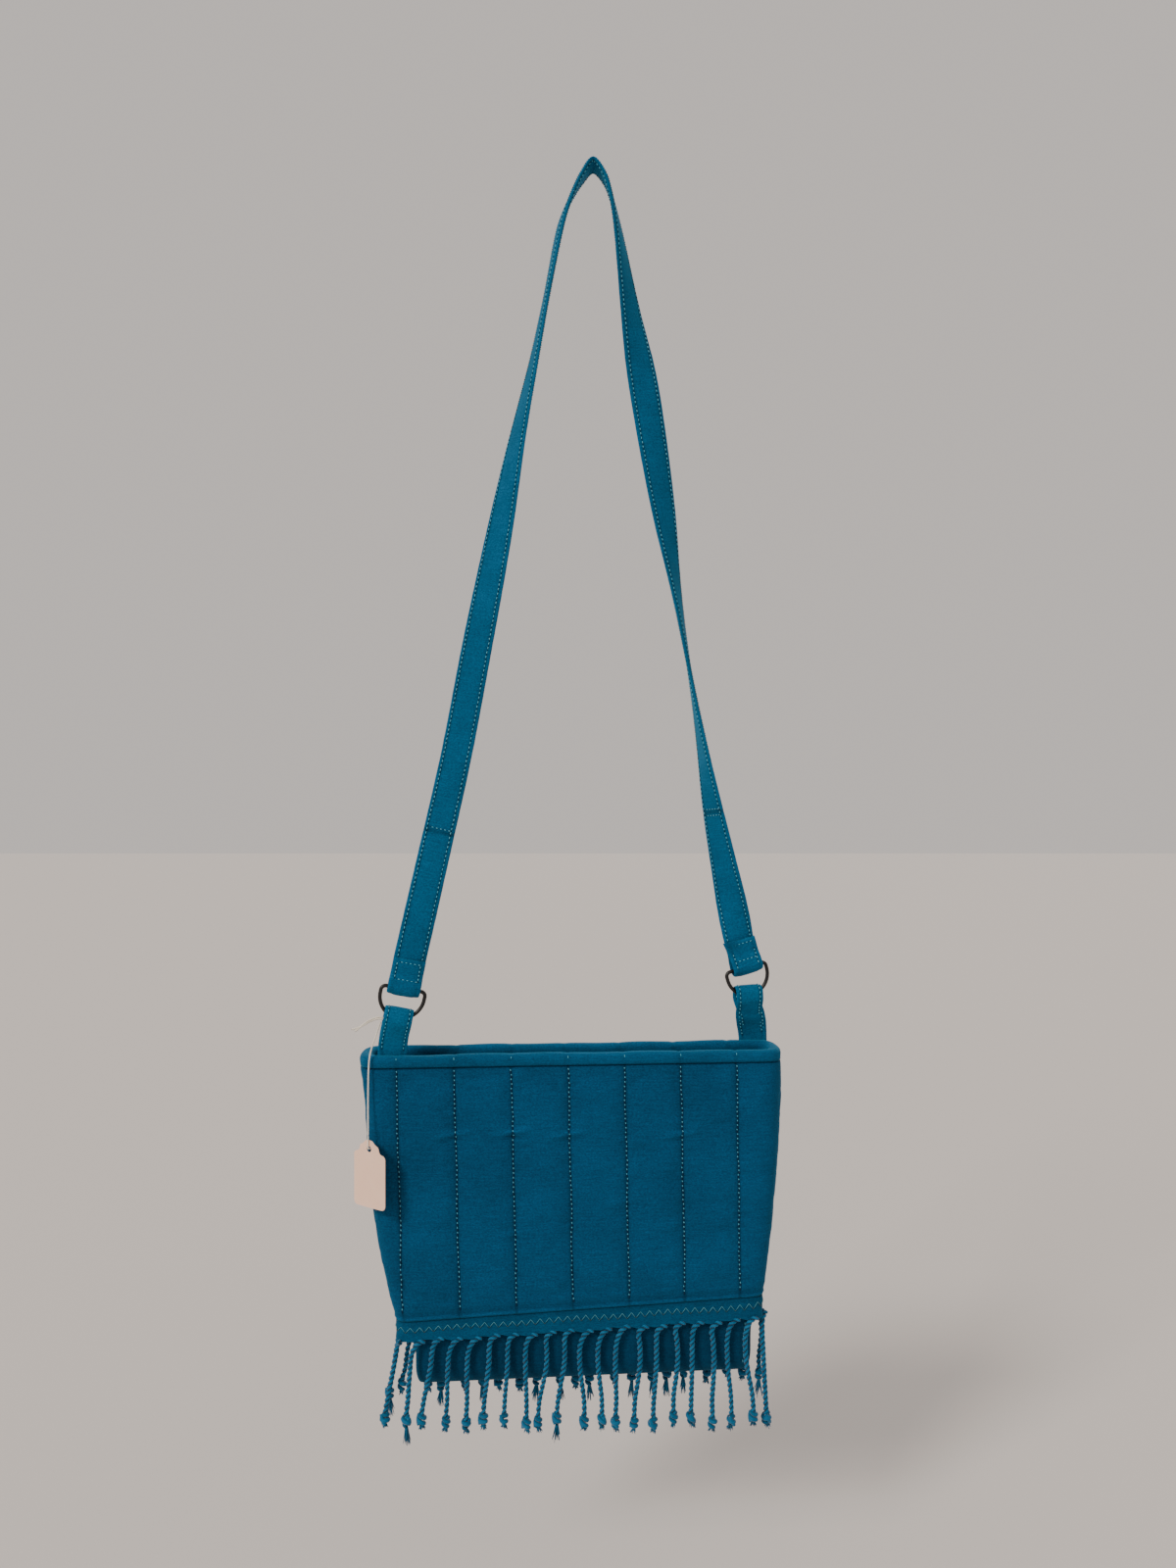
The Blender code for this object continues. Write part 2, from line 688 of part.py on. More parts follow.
def build_tab(name, frame, pivot, along, v, material):
    """A cloth strip from the bag up over the ring's arc and back, both legs sewn at the rim."""
    fold, down = frame[3], frame[4]
    radius = TAB_LOOP_ROOM + TAB_THICK / 2
    hub = pivot + down * (TAB_LOOP_ROOM - WIRE_RADIUS - TAB_WIRE_GAP)
    layer = (TAB_THICK + GAP) / 2
    foot_back = Vector((-math.sin(BAG_YAW), math.cos(BAG_YAW), 0))
    foot_along = Vector((math.cos(BAG_YAW), math.sin(BAG_YAW), 0))
    normal = down.cross(fold).normalized()
    if normal.dot(BACK) < 0:
        normal = -normal
    foot = bag_point(along, v, TAB_SEWN)
    rim = bag_point(along, v, 0.0)
    leg = [
        (pivot + down * TAB_LOOP_DROP, normal, radius, fold),
        (pivot + down * (TAB_LOOP_DROP + TAB_CLOSE_DROP) / 2, normal, (radius + layer) / 2, fold),
        (pivot + down * TAB_CLOSE_DROP, normal, layer, fold),
        (rim, foot_back, layer, foot_along),
        (foot, foot_back, layer, foot_along),
    ]
    over = [math.pi * i / 6 for i in range(7)]
    turn = [(hub + normal * radius * math.cos(a) - down * radius * math.sin(a), fold) for a in over]
    rear = [(place + facing * reach, across) for place, facing, reach, across in leg]
    front = [(place - facing * reach, across) for place, facing, reach, across in leg]
    path = list(reversed(rear)) + turn + front
    return sweep(name, path, TAB_WIDTH, TAB_THICK, material)


# Hang tag


def tag_outline():
    """Half of the card's outline from its top to its bottom, from the hole's centre: across, up."""
    half, top, low = TAG_WIDTH / 2, TAG_HOLE_DROP, TAG_HOLE_DROP - TAG_HEIGHT
    step = TAG_SHOULDER - TAG_HOLE_DROP
    points = [
        (0.0, top),
        (half * 0.2, top - 0.0005),
        (half * 0.36, top - 0.0024),
        (half * 0.56, top - 0.0040),
        (half * 0.66, -step + 0.0006),
        (half * 0.70, -step),
    ]
    for i in range(4):
        a = math.pi / 2 * (1 - i / 3)
        points.append((half - 0.003 + 0.003 * math.cos(a), -step - 0.0035 + 0.003 * math.sin(a)))
    for i in range(4):
        a = -math.pi / 2 * i / 3
        points.append((half - 0.003 + 0.003 * math.cos(a), low + 0.003 + 0.003 * math.sin(a)))
    return points


def build_tag(material):
    """A flat card with a round hole."""
    right = tag_outline()
    edge = right + [(-x, z) for x, z in reversed(right[1:])]
    across = Vector((math.cos(TAG_TURN), -math.sin(TAG_TURN), 0))
    normal = Vector((-math.sin(TAG_TURN), -math.cos(TAG_TURN), 0))
    points = []
    for depth in (-TAG_THICK / 2, TAG_THICK / 2):
        for x, z in edge:
            points.append(TAG_AT + across * x + Vector((0, 0, z)) + normal * depth)
        for x, z in edge:
            a = math.atan2(z, x)
            hole = Vector((0, 0, TAG_HOLE * math.sin(a))) + across * TAG_HOLE * math.cos(a)
            points.append(TAG_AT + hole + normal * depth)
    n = len(edge)
    faces = []
    for k in range(n):
        j = (k + 1) % n
        faces.append((k, j, n + j, n + k))
        faces.append((2 * n + k, 3 * n + k, 3 * n + j, 2 * n + j))
        faces.append((k, 2 * n + k, 2 * n + j, j))
        faces.append((n + k, n + j, 3 * n + j, 3 * n + k))
    return add_object("hang_tag", points, faces, material)


def string_start():
    """Where the string leaves the left tab, beside its edge."""
    fold, down = LEFT_RING[3], LEFT_RING[4]
    reach = TAB_WIDTH / 2 + GAP + STRING_RADIUS
    return LEFT_PIVOT + down * STRING_KNOT_DROP - fold * reach


def build_string(material):
    """The tag's string from the tab over the rim's corner to the card's hole."""
    normal = Vector((-math.sin(TAG_TURN), -math.cos(TAG_TURN), 0))
    ahead = normal * (TAG_THICK / 2 + GAP + STRING_RADIUS)
    route = [
        string_start(),
        Vector((-0.1450, -0.0195, -0.5900)),
        Vector((-0.1472, -0.0252, -0.5985)),
        Vector((-0.1482, -0.0282, -0.6080)),
        Vector((-0.1486, -0.0285, -0.6300)),
        TAG_AT + ahead + Vector((0, 0, TAG_HOLE_DROP + 0.004)),
        TAG_AT + ahead * 1.1 + Vector((0, 0, TAG_HOLE)),
        TAG_AT + ahead * 0.8 + Vector((0, 0, TAG_HOLE * 0.3)),
        TAG_AT - ahead * 1.3,
    ]
    curve = bpy.data.curves.new("tag_string", "CURVE")
    curve.dimensions = "3D"
    curve.bevel_depth = STRING_RADIUS
    curve.bevel_resolution = 2
    curve.use_fill_caps = True
    line = curve.splines.new("POLY")
    places = spline([tuple(p) for p in route], STRING_STEP)
    line.points.add(len(places) - 1)
    for point, place in zip(line.points, places):
        point.co = (*place, 1.0)
    curve.materials.append(material)
    item = bpy.data.objects.new("tag_string", curve)
    bpy.context.collection.objects.link(item)
    return item


def main():
    clear_scene()
    cloth = make_material("cloth", (0.004, 0.075, 0.135), 0.9)
    strap_cloth = make_material("strap_cloth", (0.004, 0.080, 0.145), 0.9)
    binding_cloth = make_material("binding_cloth", (0.005, 0.085, 0.150), 0.9)
    base_cloth = make_material("base_cloth", (0.003, 0.060, 0.110), 0.9)
    yarn = make_material("yarn", (0.006, 0.090, 0.160), 0.9)
    tab_cloth = make_material("tab_cloth", (0.005, 0.085, 0.150), 0.9)
    wire = make_material("wire", (0.008, 0.008, 0.009), 0.35, 0.8)
    card = make_material("card", (0.74, 0.55, 0.42), 0.8)
    thread = make_material("thread", (0.72, 0.66, 0.56), 0.8)

    left_ring_pivot = add_pivot("left_ring_pivot", LEFT_RING_AXIS)
    right_ring_pivot = add_pivot("right_ring_pivot", RIGHT_RING_AXIS)
    bag_pivot = add_pivot("bag_pivot", LEFT_PIVOT)
    tag_pivot = add_pivot("tag_pivot", string_start())

    build_strap(strap_cloth)
    carry(build_ring("left_d_ring", LEFT_RING, wire), left_ring_pivot)
    carry(build_ring("right_d_ring", RIGHT_RING, wire), right_ring_pivot)
    # The left tab is sewn to the binding's inside, the right one to its outside
    inner_face = RIM_HALF_DEPTH - 2 * BINDING_LEG - EDGE_THICK - 2 * GAP
    layers = TAB_THICK + GAP / 2
    left_v = -(inner_face - GAP - layers)
    right_v = RIM_HALF_DEPTH + GAP + layers
    for item in (
        build_tab("left_tab", LEFT_RING, LEFT_PIVOT, LEFT_TAB_ALONG, left_v, tab_cloth),
        build_tab("right_tab", RIGHT_RING, RIGHT_PIVOT, RIGHT_TAB_ALONG, right_v, tab_cloth),
        build_binding(binding_cloth),
        build_panel("front_panel", -1, cloth),
        build_panel("back_panel", 1, cloth),
        build_lower_body(base_cloth),
        build_fringe("front_fringe", -1, 3, yarn),
        build_fringe("back_fringe", 1, 8, yarn),
    ):
        carry(item, bag_pivot)
    carry(build_tag(card), tag_pivot)
    carry(build_string(thread), tag_pivot)


main()
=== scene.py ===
import bisect
import math
import random

import bmesh
import bpy
import numpy as np
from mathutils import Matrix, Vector, noise


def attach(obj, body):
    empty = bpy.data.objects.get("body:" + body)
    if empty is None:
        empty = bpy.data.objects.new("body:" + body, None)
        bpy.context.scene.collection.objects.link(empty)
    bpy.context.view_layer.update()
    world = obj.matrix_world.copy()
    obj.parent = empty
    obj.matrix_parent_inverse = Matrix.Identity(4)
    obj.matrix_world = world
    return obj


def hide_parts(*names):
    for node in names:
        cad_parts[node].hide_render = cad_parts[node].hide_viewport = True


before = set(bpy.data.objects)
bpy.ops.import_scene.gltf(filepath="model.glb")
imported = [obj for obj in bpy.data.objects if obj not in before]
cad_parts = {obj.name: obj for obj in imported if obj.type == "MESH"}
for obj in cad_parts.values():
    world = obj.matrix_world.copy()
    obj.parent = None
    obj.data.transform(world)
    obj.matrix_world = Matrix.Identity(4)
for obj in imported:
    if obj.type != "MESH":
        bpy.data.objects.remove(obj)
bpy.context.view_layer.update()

UPWARD = Vector((0, 0, 1))

# Camera at the reference picture's place: level, looking along +Y at the height of the frame's middle

camera_data = bpy.data.cameras.new("camera")
camera_data.sensor_fit = "AUTO"
camera_data.sensor_width = 36.0
camera_data.lens = 18.0 / 0.6656
camera_data.clip_start = 0.02
camera = bpy.data.objects.new("camera", camera_data)
camera.location = (-0.0034, -0.806, -0.422)
camera.rotation_euler = (math.pi / 2, 0, 0)
bpy.context.collection.objects.link(camera)
bpy.context.scene.camera = camera

# Sizes that repeat the CAD model's

GAP = 0.0003
STRAP_WIDTH, STRAP_THICK, STRAP_LAP = 0.022, 0.003, 0.020
STRAP_LOOP_ROOM, STRAP_BAR_GAP, STRAP_STEP = 0.0031, 0.0008, 0.017
RIGHT_STRAP_SLIDE = 0.0010
HOOK_POINT = (0.0, 0.0, 90)
LEFT_ROUTE = [
    (-0.0078, -0.0075, 86),
    (-0.0205, -0.035, 77),
    (-0.0311, -0.0865, 80),
    (-0.0400, -0.132, 74),
    (-0.0520, -0.189, 57),
    (-0.0647, -0.257, 34),
    (-0.0785, -0.329, 20),
    (-0.0922, -0.402, 18),
    (-0.1084, -0.475, 13),
]
RIGHT_ROUTE = [
    (0.0082, -0.0075, 86),
    (0.0161, -0.035, 77),
    (0.0266, -0.100, 44),
    (0.0358, -0.152, 12),
    (0.0480, -0.2265, 30),
    (0.0595, -0.297, 67),
    (0.0726, -0.373, 86),
    (0.0830, -0.4336, 113),
    (0.0942, -0.489, 140),
]
WIRE_RADIUS, RING_HALF_WIDTH = 0.0013, 0.0148
RING_STRAIGHT, RING_CORNER, RING_LEAN = 0.005, 0.003, math.radians(13.5)
LEFT_PIVOT = Vector((-0.1299, -0.018, -0.5748))
RIGHT_PIVOT = Vector((0.1092, 0.024, -0.567))
RIGHT_TAB_SLIDE = -0.0025
TAB_WIDTH, TAB_THICK, TAB_LOOP_ROOM, TAB_WIRE_GAP = 0.0195, 0.0018, 0.0038, 0.0006
TAB_LOOP_DROP, TAB_CLOSE_DROP, TAB_SEWN = 0.0065, 0.014, 0.012
LEFT_TAB_ALONG = -0.1275
BAG_CENTRE, BAG_YAW = Vector((-0.0082, 0.003, -0.602)), math.radians(4.1)
RIM_HALF_WIDTH, RIM_LEFT_EXTRA, END_ROUND = 0.1374, 0.0118, 0.014
RIM_HALF_DEPTH, SEAM_HALF_DEPTH, BASE_HALF_DEPTH = 0.019, 0.0125, 0.0082
PANEL_DROP, BODY_DROP, WIDTH_TAPER, DEPTH_TAPER = 0.171, 0.220, 1.6, 1.2
BINDING_DROP, BINDING_LEG, EDGE_THICK = 0.0088, 0.0026, 0.0024
STRAIGHT_DROP = BINDING_DROP + 0.001
PANEL_THICK, PANEL_TOP = 0.0045, 0.0036
PANEL_SPAN = PANEL_DROP - GAP - PANEL_TOP
QUILT_FIRST, QUILT_PITCH, QUILT_LINES, QUILT_LEAN = -0.1245, 0.0381, 7, 0.004
BAND_THICK, BAND_DROP, BAND_WAVE, CORDS_PER_BAND = 0.0018, 0.0135, 0.0007, 21
BAND_TOP = PANEL_DROP + GAP / 2
CORD_RADIUS, CORD_LENGTH, CORD_LEAN, CORD_OUTWARD = 0.0014, 0.052, -0.0026, 0.0007
KNOT_RADIUS, KNOT_LENGTH, TUFT_LENGTH, TASSEL_LENGTH, TASSEL_SHARE = 0.0025, 0.005, 0.004, 0.013, 0.3
BASE_WALL = 0.0023
TAG_WIDTH, TAG_HEIGHT, TAG_THICK, TAG_TURN = 0.028, 0.0445, 0.0004, math.radians(34)
TAG_HOLE, TAG_HOLE_DROP, TAG_SHOULDER, TAG_CORNER = 0.002, 0.006, 0.008, 0.003
TAG_AT = Vector((-0.1478, -0.0285, -0.663))
STRING_RADIUS, STRING_KNOT_DROP = 0.0006, 0.0085

ALONG = (RIGHT_PIVOT - LEFT_PIVOT).normalized()
BACK = UPWARD.cross(ALONG).normalized()
UP = ALONG.cross(BACK)

# Sizes that differ from the CAD model's by what the cloth spreads, sags or flares past it

SEAM_HALF_WIDTH, BASE_HALF_WIDTH, BASE_RIGHT_EXTRA, LEFT_BULGE = 0.1260, 0.1125, 0.005, 0.0078
SEAM_SAG, BASE_LEFT_SAG, BASE_RIGHT_SAG = 0.0098, 0.0068, 0.0050
RIGHT_TAB_ALONG, RIGHT_TAB_FLARE = 0.1232, 0.0014
BAG_HALF, FRONT_CORD_EXTRA, BACK_CORD_LESS = 0.12, 0.0095, 0.012
PUFF_START, PUFF_DROP = BINDING_DROP - 0.0002, 0.0016

# Sizes of what only the detailed bag has

# Pitches of the stitches, and radii of the thread in them
STITCH_PITCH, CLOSE_PITCH = 0.0031, 0.0029
THREAD, THIN_THREAD, FINE_THREAD, FULL_THREAD, NEEDLE_HOLE = 0.00036, 0.00034, 0.00026, 0.00037, 0.00052
# A stitch's shares of its way, with its height and its thickness there by the thread's radius
STITCH_FORM = ((0.0, -0.7, 0.6), (0.22, 0.25, 0.95), (0.5, 0.55, 1.05), (0.78, 0.25, 0.95), (1.0, -0.7, 0.6))
# How far the rows of stitches are from an edge
STRAP_SEAM, LAP_SEAM, TAB_SEAM = 0.0027, 0.0032, 0.0026
LEFT_JOIN_HEIGHT, RIGHT_JOIN_HEIGHT, JOIN_SEAM = -0.455, -0.4415, 0.0022
CORNER_CURL = Vector((-0.0024, -0.0016, 0.0006))
TAG_EDGE_BULGE, TAG_BOW = 0.00012, 0.0005
# The share of the way round one side that each rounded end takes, and how full its curve is
END_SHARE, END_FULLNESS = 0.08, 0.7
PANEL_COLUMNS, PANEL_ROWS, END_COLUMNS = 221, 105, 16
# Creases on the front: quilt line, height and strength
CREASES = [
    (2, -0.052, 0.5),
    (3, -0.054, 0.4),
    (5, -0.056, 0.35),
    (1, -0.052, 0.35),
    (4, -0.100, 0.2),
    (2, -0.118, 0.2),
]
SIM_ROWS, SIM_COLUMNS, SIM_FRAMES = 58, 119, 20
SIM_PRESSURE, SIM_SPARE, SIM_CAP, SIM_LINE_HELD, SIM_TOP_HELD = 4.0, 0.006, 0.0011, 0.0013, 0.003
# Shares of the pouch's height with a row of points, closer together where it rounds off
BASE_SHARES = (0, 0.06, 0.12, 0.18, 0.25, 0.32, 0.4, 0.48, 0.56, 0.63, 0.7)
BASE_SHARES += (0.76, 0.81, 0.85, 0.88, 0.91, 0.935, 0.955, 0.97, 0.982, 0.992, 1.0)
INNER_BASE_SHARES = (0, 0.3, 0.62, 0.86)
# Fringe: band, cord plies, the string's plies and loose end, knot and tuft
BAND_COLUMNS, ZIGZAG_STEP, ZIGZAG_HIGH, ZIGZAG_LOW = 330, 0.0031, 0.0034, 0.0072
PLY_RADIUS, PLY_SWING, PLY_PITCH = 0.00094, 0.00084, 0.0076
STRING_PLY, STRING_SWING, STRING_PITCH = 0.00037, 0.00023, 0.0021
END_PLY, END_SWING = 0.00042, 0.00026
COIL_POINTS, COIL_RADIUS, CROSS_RADIUS = 30, 0.00150, 0.00125
STRANDS, STRAND_RADII = 24, (0.00046, 0.00048, 0.00042, 0.00034, 0.00018)
FLOOR_HEIGHT, FLOOR_REACH = -1.0, 9


# Small sums


def clamp(value, low=0.0, high=1.0):
    return min(max(value, low), high)


def hill(value):
    """A bell curve: 1 at zero, and next to nothing past 2 on either side."""
    return math.exp(-(value**2))


def rough(place, scale=1, seed=0.0):
    return noise.noise(Vector(place) * scale + Vector((seed, seed * 1.7, -seed)))


def arc(centre, radius, start, end, count):
    """Points (x, y) on an arc from one angle to another, in count steps."""
    angles = [start + (end - start) * i / count for i in range(count + 1)]
    return [(centre[0] + radius * math.cos(a), centre[1] + radius * math.sin(a)) for a in angles]


def spline(points, step):
    """The CAD model's smooth curve, so that a finer one lies where its own does."""
    found = []
    for k in range(len(points) - 1):
        before = points[max(k - 1, 0)]
        start, end = points[k], points[k + 1]
        after = points[min(k + 2, len(points) - 1)]
        count = max(1, round(math.dist(start[:3], end[:3]) / step))
        for i in range(count):
            t = i / count
            point = []
            for a, b, c, d in zip(before, start, end, after):
                bend = (2 * a - 5 * b + 4 * c - d) * t**2 + (3 * b - a - 3 * c + d) * t**3
                point.append(0.5 * (2 * b + (c - a) * t + bend))
            found.append(tuple(point))
    found.append(tuple(points[-1]))
    return found


def curve(points, step):
    """Points about a step apart on a smooth curve through unevenly spaced ones, of any length each."""
    table = np.array([list(p) for p in points], dtype=float)
    gaps = np.maximum(np.linalg.norm(np.diff(table[:, :3], axis=0), axis=1), 1e-7)
    slopes = np.diff(table, axis=0) / gaps[:, None]
    ways = np.empty_like(table)
    ways[0], ways[-1] = slopes[0], slopes[-1]
    for i in range(1, len(table) - 1):
        ways[i] = (slopes[i - 1] * gaps[i] + slopes[i] * gaps[i - 1]) / (gaps[i - 1] + gaps[i])
    found = []
    for i, gap in enumerate(gaps):
        count = max(1, round(gap / step))
        for t in (j / count for j in range(count)):
            a, b = 2 * t**3 - 3 * t**2 + 1, t**3 - 2 * t**2 + t
            c, d = -2 * t**3 + 3 * t**2, t**3 - t**2
            found.append(a * table[i] + b * gap * ways[i] + c * table[i + 1] + d * gap * ways[i + 1])
    found.append(table[-1])
    return found


def smooth_path(points, step):
    return [Vector(p[:3]) for p in curve(points, step)]


def lengths(path):
    """How far along a path each of its points lies."""
    found = [0.0]
    for a, b in zip(path, path[1:]):
        found.append(found[-1] + (b - a).length)
    return found


def frames(path, sides=None, side=None):
    """(place, side, normal, length so far) at each point of a path. Without sides, one is carried along."""
    found = []
    for k, (place, length) in enumerate(zip(path, lengths(path))):
        way = path[min(k + 1, len(path) - 1)] - path[max(k - 1, 0)]
        way = way.normalized() if way.length > 1e-9 else UPWARD
        side = sides[k] if sides else side or way.orthogonal()
        side = (side - way * side.dot(way)).normalized()
        found.append((place, side, way.cross(side), length))
    return found


def half_turn(hub, out, over, radius, steps=12):
    """Points on a half circle from one side of hub, over its crown and down the other side."""
    turn = [math.pi * i / steps for i in range(steps + 1)]
    return [hub + out * radius * math.cos(a) + over * radius * math.sin(a) for a in turn]


# Mesh making


def add_object(name, data):
    """A new object in the scene."""
    item = bpy.data.objects.new(name, data)
    bpy.context.collection.objects.link(item)
    return item


class Shape:
    """Gathers one mesh: points, each with a shade value that paints light and shade into its colour, and
    faces with places on the cloth and material numbers.
    """

    def __init__(self):
        self.points, self.faces, self.uvs, self.slots, self.shades = [], [], [], [], []

    def grid(self, rows, slot=0, wrap=False, caps=False):
        """Faces between rows of cells: a point, its place on the cloth in metres and its shade. With wrap,
        a row closes on itself, and its last cell only says where on the cloth the closing face ends."""
        base, wide = len(self.points), len(rows[0]) - wrap
        for row in rows:
            self.points += [cell[0] for cell in row[:wide]]
            self.shades += [cell[2] for cell in row[:wide]]
        for r, (upper, lower) in enumerate(zip(rows, rows[1:])):
            a, b = base + r * wide, base + (r + 1) * wide
            for c in range(len(upper) - 1):
                d = (c + 1) % wide
                self.faces.append((a + c, a + d, b + d, b + c))
                self.uvs.append((upper[c][1], upper[c + 1][1], lower[c + 1][1], lower[c][1]))
                self.slots.append(slot)
        if caps:
            self.face(range(base, base + wide), slot)
            self.face(range(len(self.points) - wide, len(self.points)), slot)
        return base

    def face(self, numbers, slot=0):
        self.faces.append(tuple(numbers))
        self.uvs.append([(self.points[n].x, self.points[n].z) for n in numbers])
        self.slots.append(slot)

    def tube(self, path, radii, sides=6, slot=0, shade=1.0):
        """A tube along path. radii is a number or one for each point, and shade a number or a function."""
        if not hasattr(radii, "__len__"):
            radii = [radii] * len(path)
        rows = []
        for k, (place, side, other, length) in enumerate(frames(path)):
            row = []
            for i in range(sides + 1):
                a = 2 * math.pi * i / sides
                point = place + (side * math.cos(a) + other * math.sin(a)) * radii[k]
                tone = shade(k, point) if callable(shade) else shade
                row.append((point, (max(radii[k], 1e-5) * a, length), tone))
            rows.append(row)
        self.grid(rows, slot, wrap=True, caps=True)

    def stitch(self, start, end, normal, radius, slot=0):
        """One stitch on a surface: up out of the cloth, over and down again."""
        path = [start.lerp(end, share) + normal * radius * height for share, height, _ in STITCH_FORM]
        self.tube(path, [radius * thick for _, _, thick in STITCH_FORM], 5, slot)

    def make(self, name, materials, body, slot, stands_for=(), smooth=True, weld=False):
        mesh = bpy.data.meshes.new(name)
        mesh.from_pydata([tuple(p) for p in self.points], [], self.faces)
        flat = [value for corner in self.uvs for pair in corner for value in pair]
        mesh.uv_layers.new(name="cloth").data.foreach_set("uv", flat)
        # The shade attribute multiplies the material's colour: painted shade and painted highlights, with
        # some uneven random tone
        mesh.attributes.new("shade", "FLOAT", "POINT").data.foreach_set("value", self.shades)
        for material in materials:
            mesh.materials.append(material)
        mesh.polygons.foreach_set("material_index", self.slots)
        shape = bmesh.new()
        shape.from_mesh(mesh)
        bmesh.ops.recalc_face_normals(shape, faces=shape.faces)
        if weld:
            bmesh.ops.remove_doubles(shape, verts=shape.verts, dist=1e-6)
        shape.to_mesh(mesh)
        shape.free()
        mesh.polygons.foreach_set("use_smooth", [smooth] * len(mesh.polygons))
        mesh.update()
        item = add_object(name, mesh)
        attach(item, body)
        if stands_for:
            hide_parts(*stands_for)
        return item


# Materials


class Nodes:
    """Short calls for one material's nodes."""

    def __init__(self, name):
        self.material = bpy.data.materials.new(name)
        self.material.use_nodes = True
        self.tree = self.material.node_tree
        self.shader = self.tree.nodes["Principled BSDF"]
        places = self.add("ShaderNodeTexCoord")
        self.flat, self.solid = places.outputs["UV"], places.outputs["Object"]

    def add(self, kind, inputs=None, **settings):
        node = self.tree.nodes.new(kind)
        for key, value in settings.items():
            setattr(node, key, value)
        self.fill(node, inputs or {})
        return node

    def fill(self, node, inputs):
        """Links or sets a node's inputs. A colour may have three values."""
        for key, value in inputs.items():
            socket = node.inputs[key]
            if hasattr(value, "is_output"):
                self.tree.links.new(value, socket)
            elif hasattr(value, "__len__") and len(value) == 3 and len(socket.default_value) == 4:
                socket.default_value = (*value, 1.0)
            else:
                socket.default_value = value

    def times(self, a, b):
        return self.add("ShaderNodeMath", {0: a, 1: b}, operation="MULTIPLY").outputs[0]

    def total(self, *parts, base=0.0):
        """The sum of values, each times its factor, and of base."""
        for value, factor in parts:
            node = self.add("ShaderNodeMath", {0: value, 1: factor, 2: base}, operation="MULTIPLY_ADD")
            base = node.outputs[0]
        return base

    def mix(self, factor, a, b, blend="MIX"):
        node = self.add("ShaderNodeMix", {0: factor, 6: a, 7: b}, data_type="RGBA", blend_type=blend)
        return node.outputs[2]

    def shaded(self, colour, level):
        grey = self.add("ShaderNodeCombineColor", {0: level, 1: level, 2: level}).outputs[0]
        return self.mix(1.0, colour, grey, "MULTIPLY")

    # The mesh's shade attribute: painted shade and painted highlights, with some uneven random tone
    def shade(self):
        return self.add("ShaderNodeAttribute", attribute_name="shade").outputs["Fac"]

    def noise(self, places, scale, detail=3.0, roughness=0.7):
        """Noise of one scale, or stretched by three."""
        if hasattr(scale, "__len__"):
            places = self.add("ShaderNodeMapping", {"Vector": places, "Scale": scale}).outputs[0]
            scale = 1.0
        inputs = {"Vector": places, "Scale": scale, "Detail": detail, "Roughness": roughness}
        return self.add("ShaderNodeTexNoise", inputs).outputs[0]

    def bands(self, pitch, direction, distortion):
        inputs = {"Vector": self.flat, "Scale": 0.31416 / pitch, "Distortion": distortion}
        inputs.update({"Detail": 2.0, "Detail Scale": 1.6})
        node = self.add("ShaderNodeTexWave", inputs, bands_direction=direction, wave_profile="SIN")
        return node.outputs["Fac"]

    def ramp(self, value, low, high):
        """Black up to low and white from high."""
        node = self.add("ShaderNodeValToRGB", {0: value})
        first, last = node.color_ramp.elements
        first.position, last.position = low, high
        return node.outputs[0]

    def finish(self, colour, roughness, height, strength, distance, **constants):
        """Links what varies to the shader, and sets what is the same all over on its own sockets."""
        bump = self.add("ShaderNodeBump", {"Height": height, "Strength": strength, "Distance": distance})
        self.fill(self.shader, {"Base Color": colour, "Roughness": roughness, "Normal": bump.outputs[0]})
        self.fill(self.shader, {key.replace("_", " "): value for key, value in constants.items()})
        return self.material


def cloth(name, dark, light, pitch, sheen, ribbed=False):
    """Napped woven cloth: ribs and yarns along the cloth, a raised nap over them, and soft uneven dye."""
    n = Nodes(name)
    ribs, yarns = n.bands(pitch, "Y", 1.6), n.bands(pitch * 0.9, "X", 1.0)
    nap = n.noise(n.flat, (900, 2100, 1))
    fine = n.noise(n.solid, (700, 1200, 1200))
    streak = n.noise(n.flat, (60, 900, 1), roughness=0.65)
    patch = n.noise(n.solid, 26.0, roughness=0.55)
    raised = n.total((nap, 0.5), (fine, 0.5))
    level = n.total((streak, 0.81), (patch, 0.54), base=0.33)
    if ribbed:
        level = n.times(level, n.total((ribs, 0.22), base=0.86))
    colour = n.shaded(n.mix(n.ramp(raised, 0.40, 0.60), dark, light), n.times(level, n.shade()))
    height = n.total((ribs, 0.55), (yarns, 0.3), (raised, 0.9))
    constants = {"Specular_IOR_Level": 0.12, "Sheen_Weight": sheen, "Sheen_Roughness": 0.5}
    constants["Sheen_Tint"] = (0.08, 0.42, 0.60)
    return n.finish(colour, n.total((nap, 0.12), base=0.86), height, 0.55, 0.00025, **constants)


def yarn(name, dark, light, sheen):
    """Twisted yarn: fine fibres that run along it, in uneven dye."""
    n = Nodes(name)
    fibre = n.noise(n.flat, (4200, 700, 1))
    patch = n.noise(n.solid, 140.0, 2.0, 0.5)
    tone = n.ramp(n.total((fibre, 0.7), (patch, 0.3)), 0.33, 0.66)
    colour = n.shaded(n.mix(tone, dark, light), n.shade())
    constants = {"Specular_IOR_Level": 0.18, "Sheen_Weight": sheen, "Sheen_Roughness": 0.4}
    return n.finish(colour, n.total((fibre, 0.2), base=0.7), fibre, 0.5, 0.00012, **constants)


def wire_paint(name):
    """Black coated wire with a fine uneven gloss."""
    n = Nodes(name)
    grain = n.noise(n.solid, 900.0, roughness=0.6)
    colour = n.mix(grain, (0.004, 0.004, 0.005), (0.012, 0.012, 0.013))
    return n.finish(colour, n.total((grain, 0.2), base=0.28), grain, 0.15, 0.0001, Metallic=0.25)


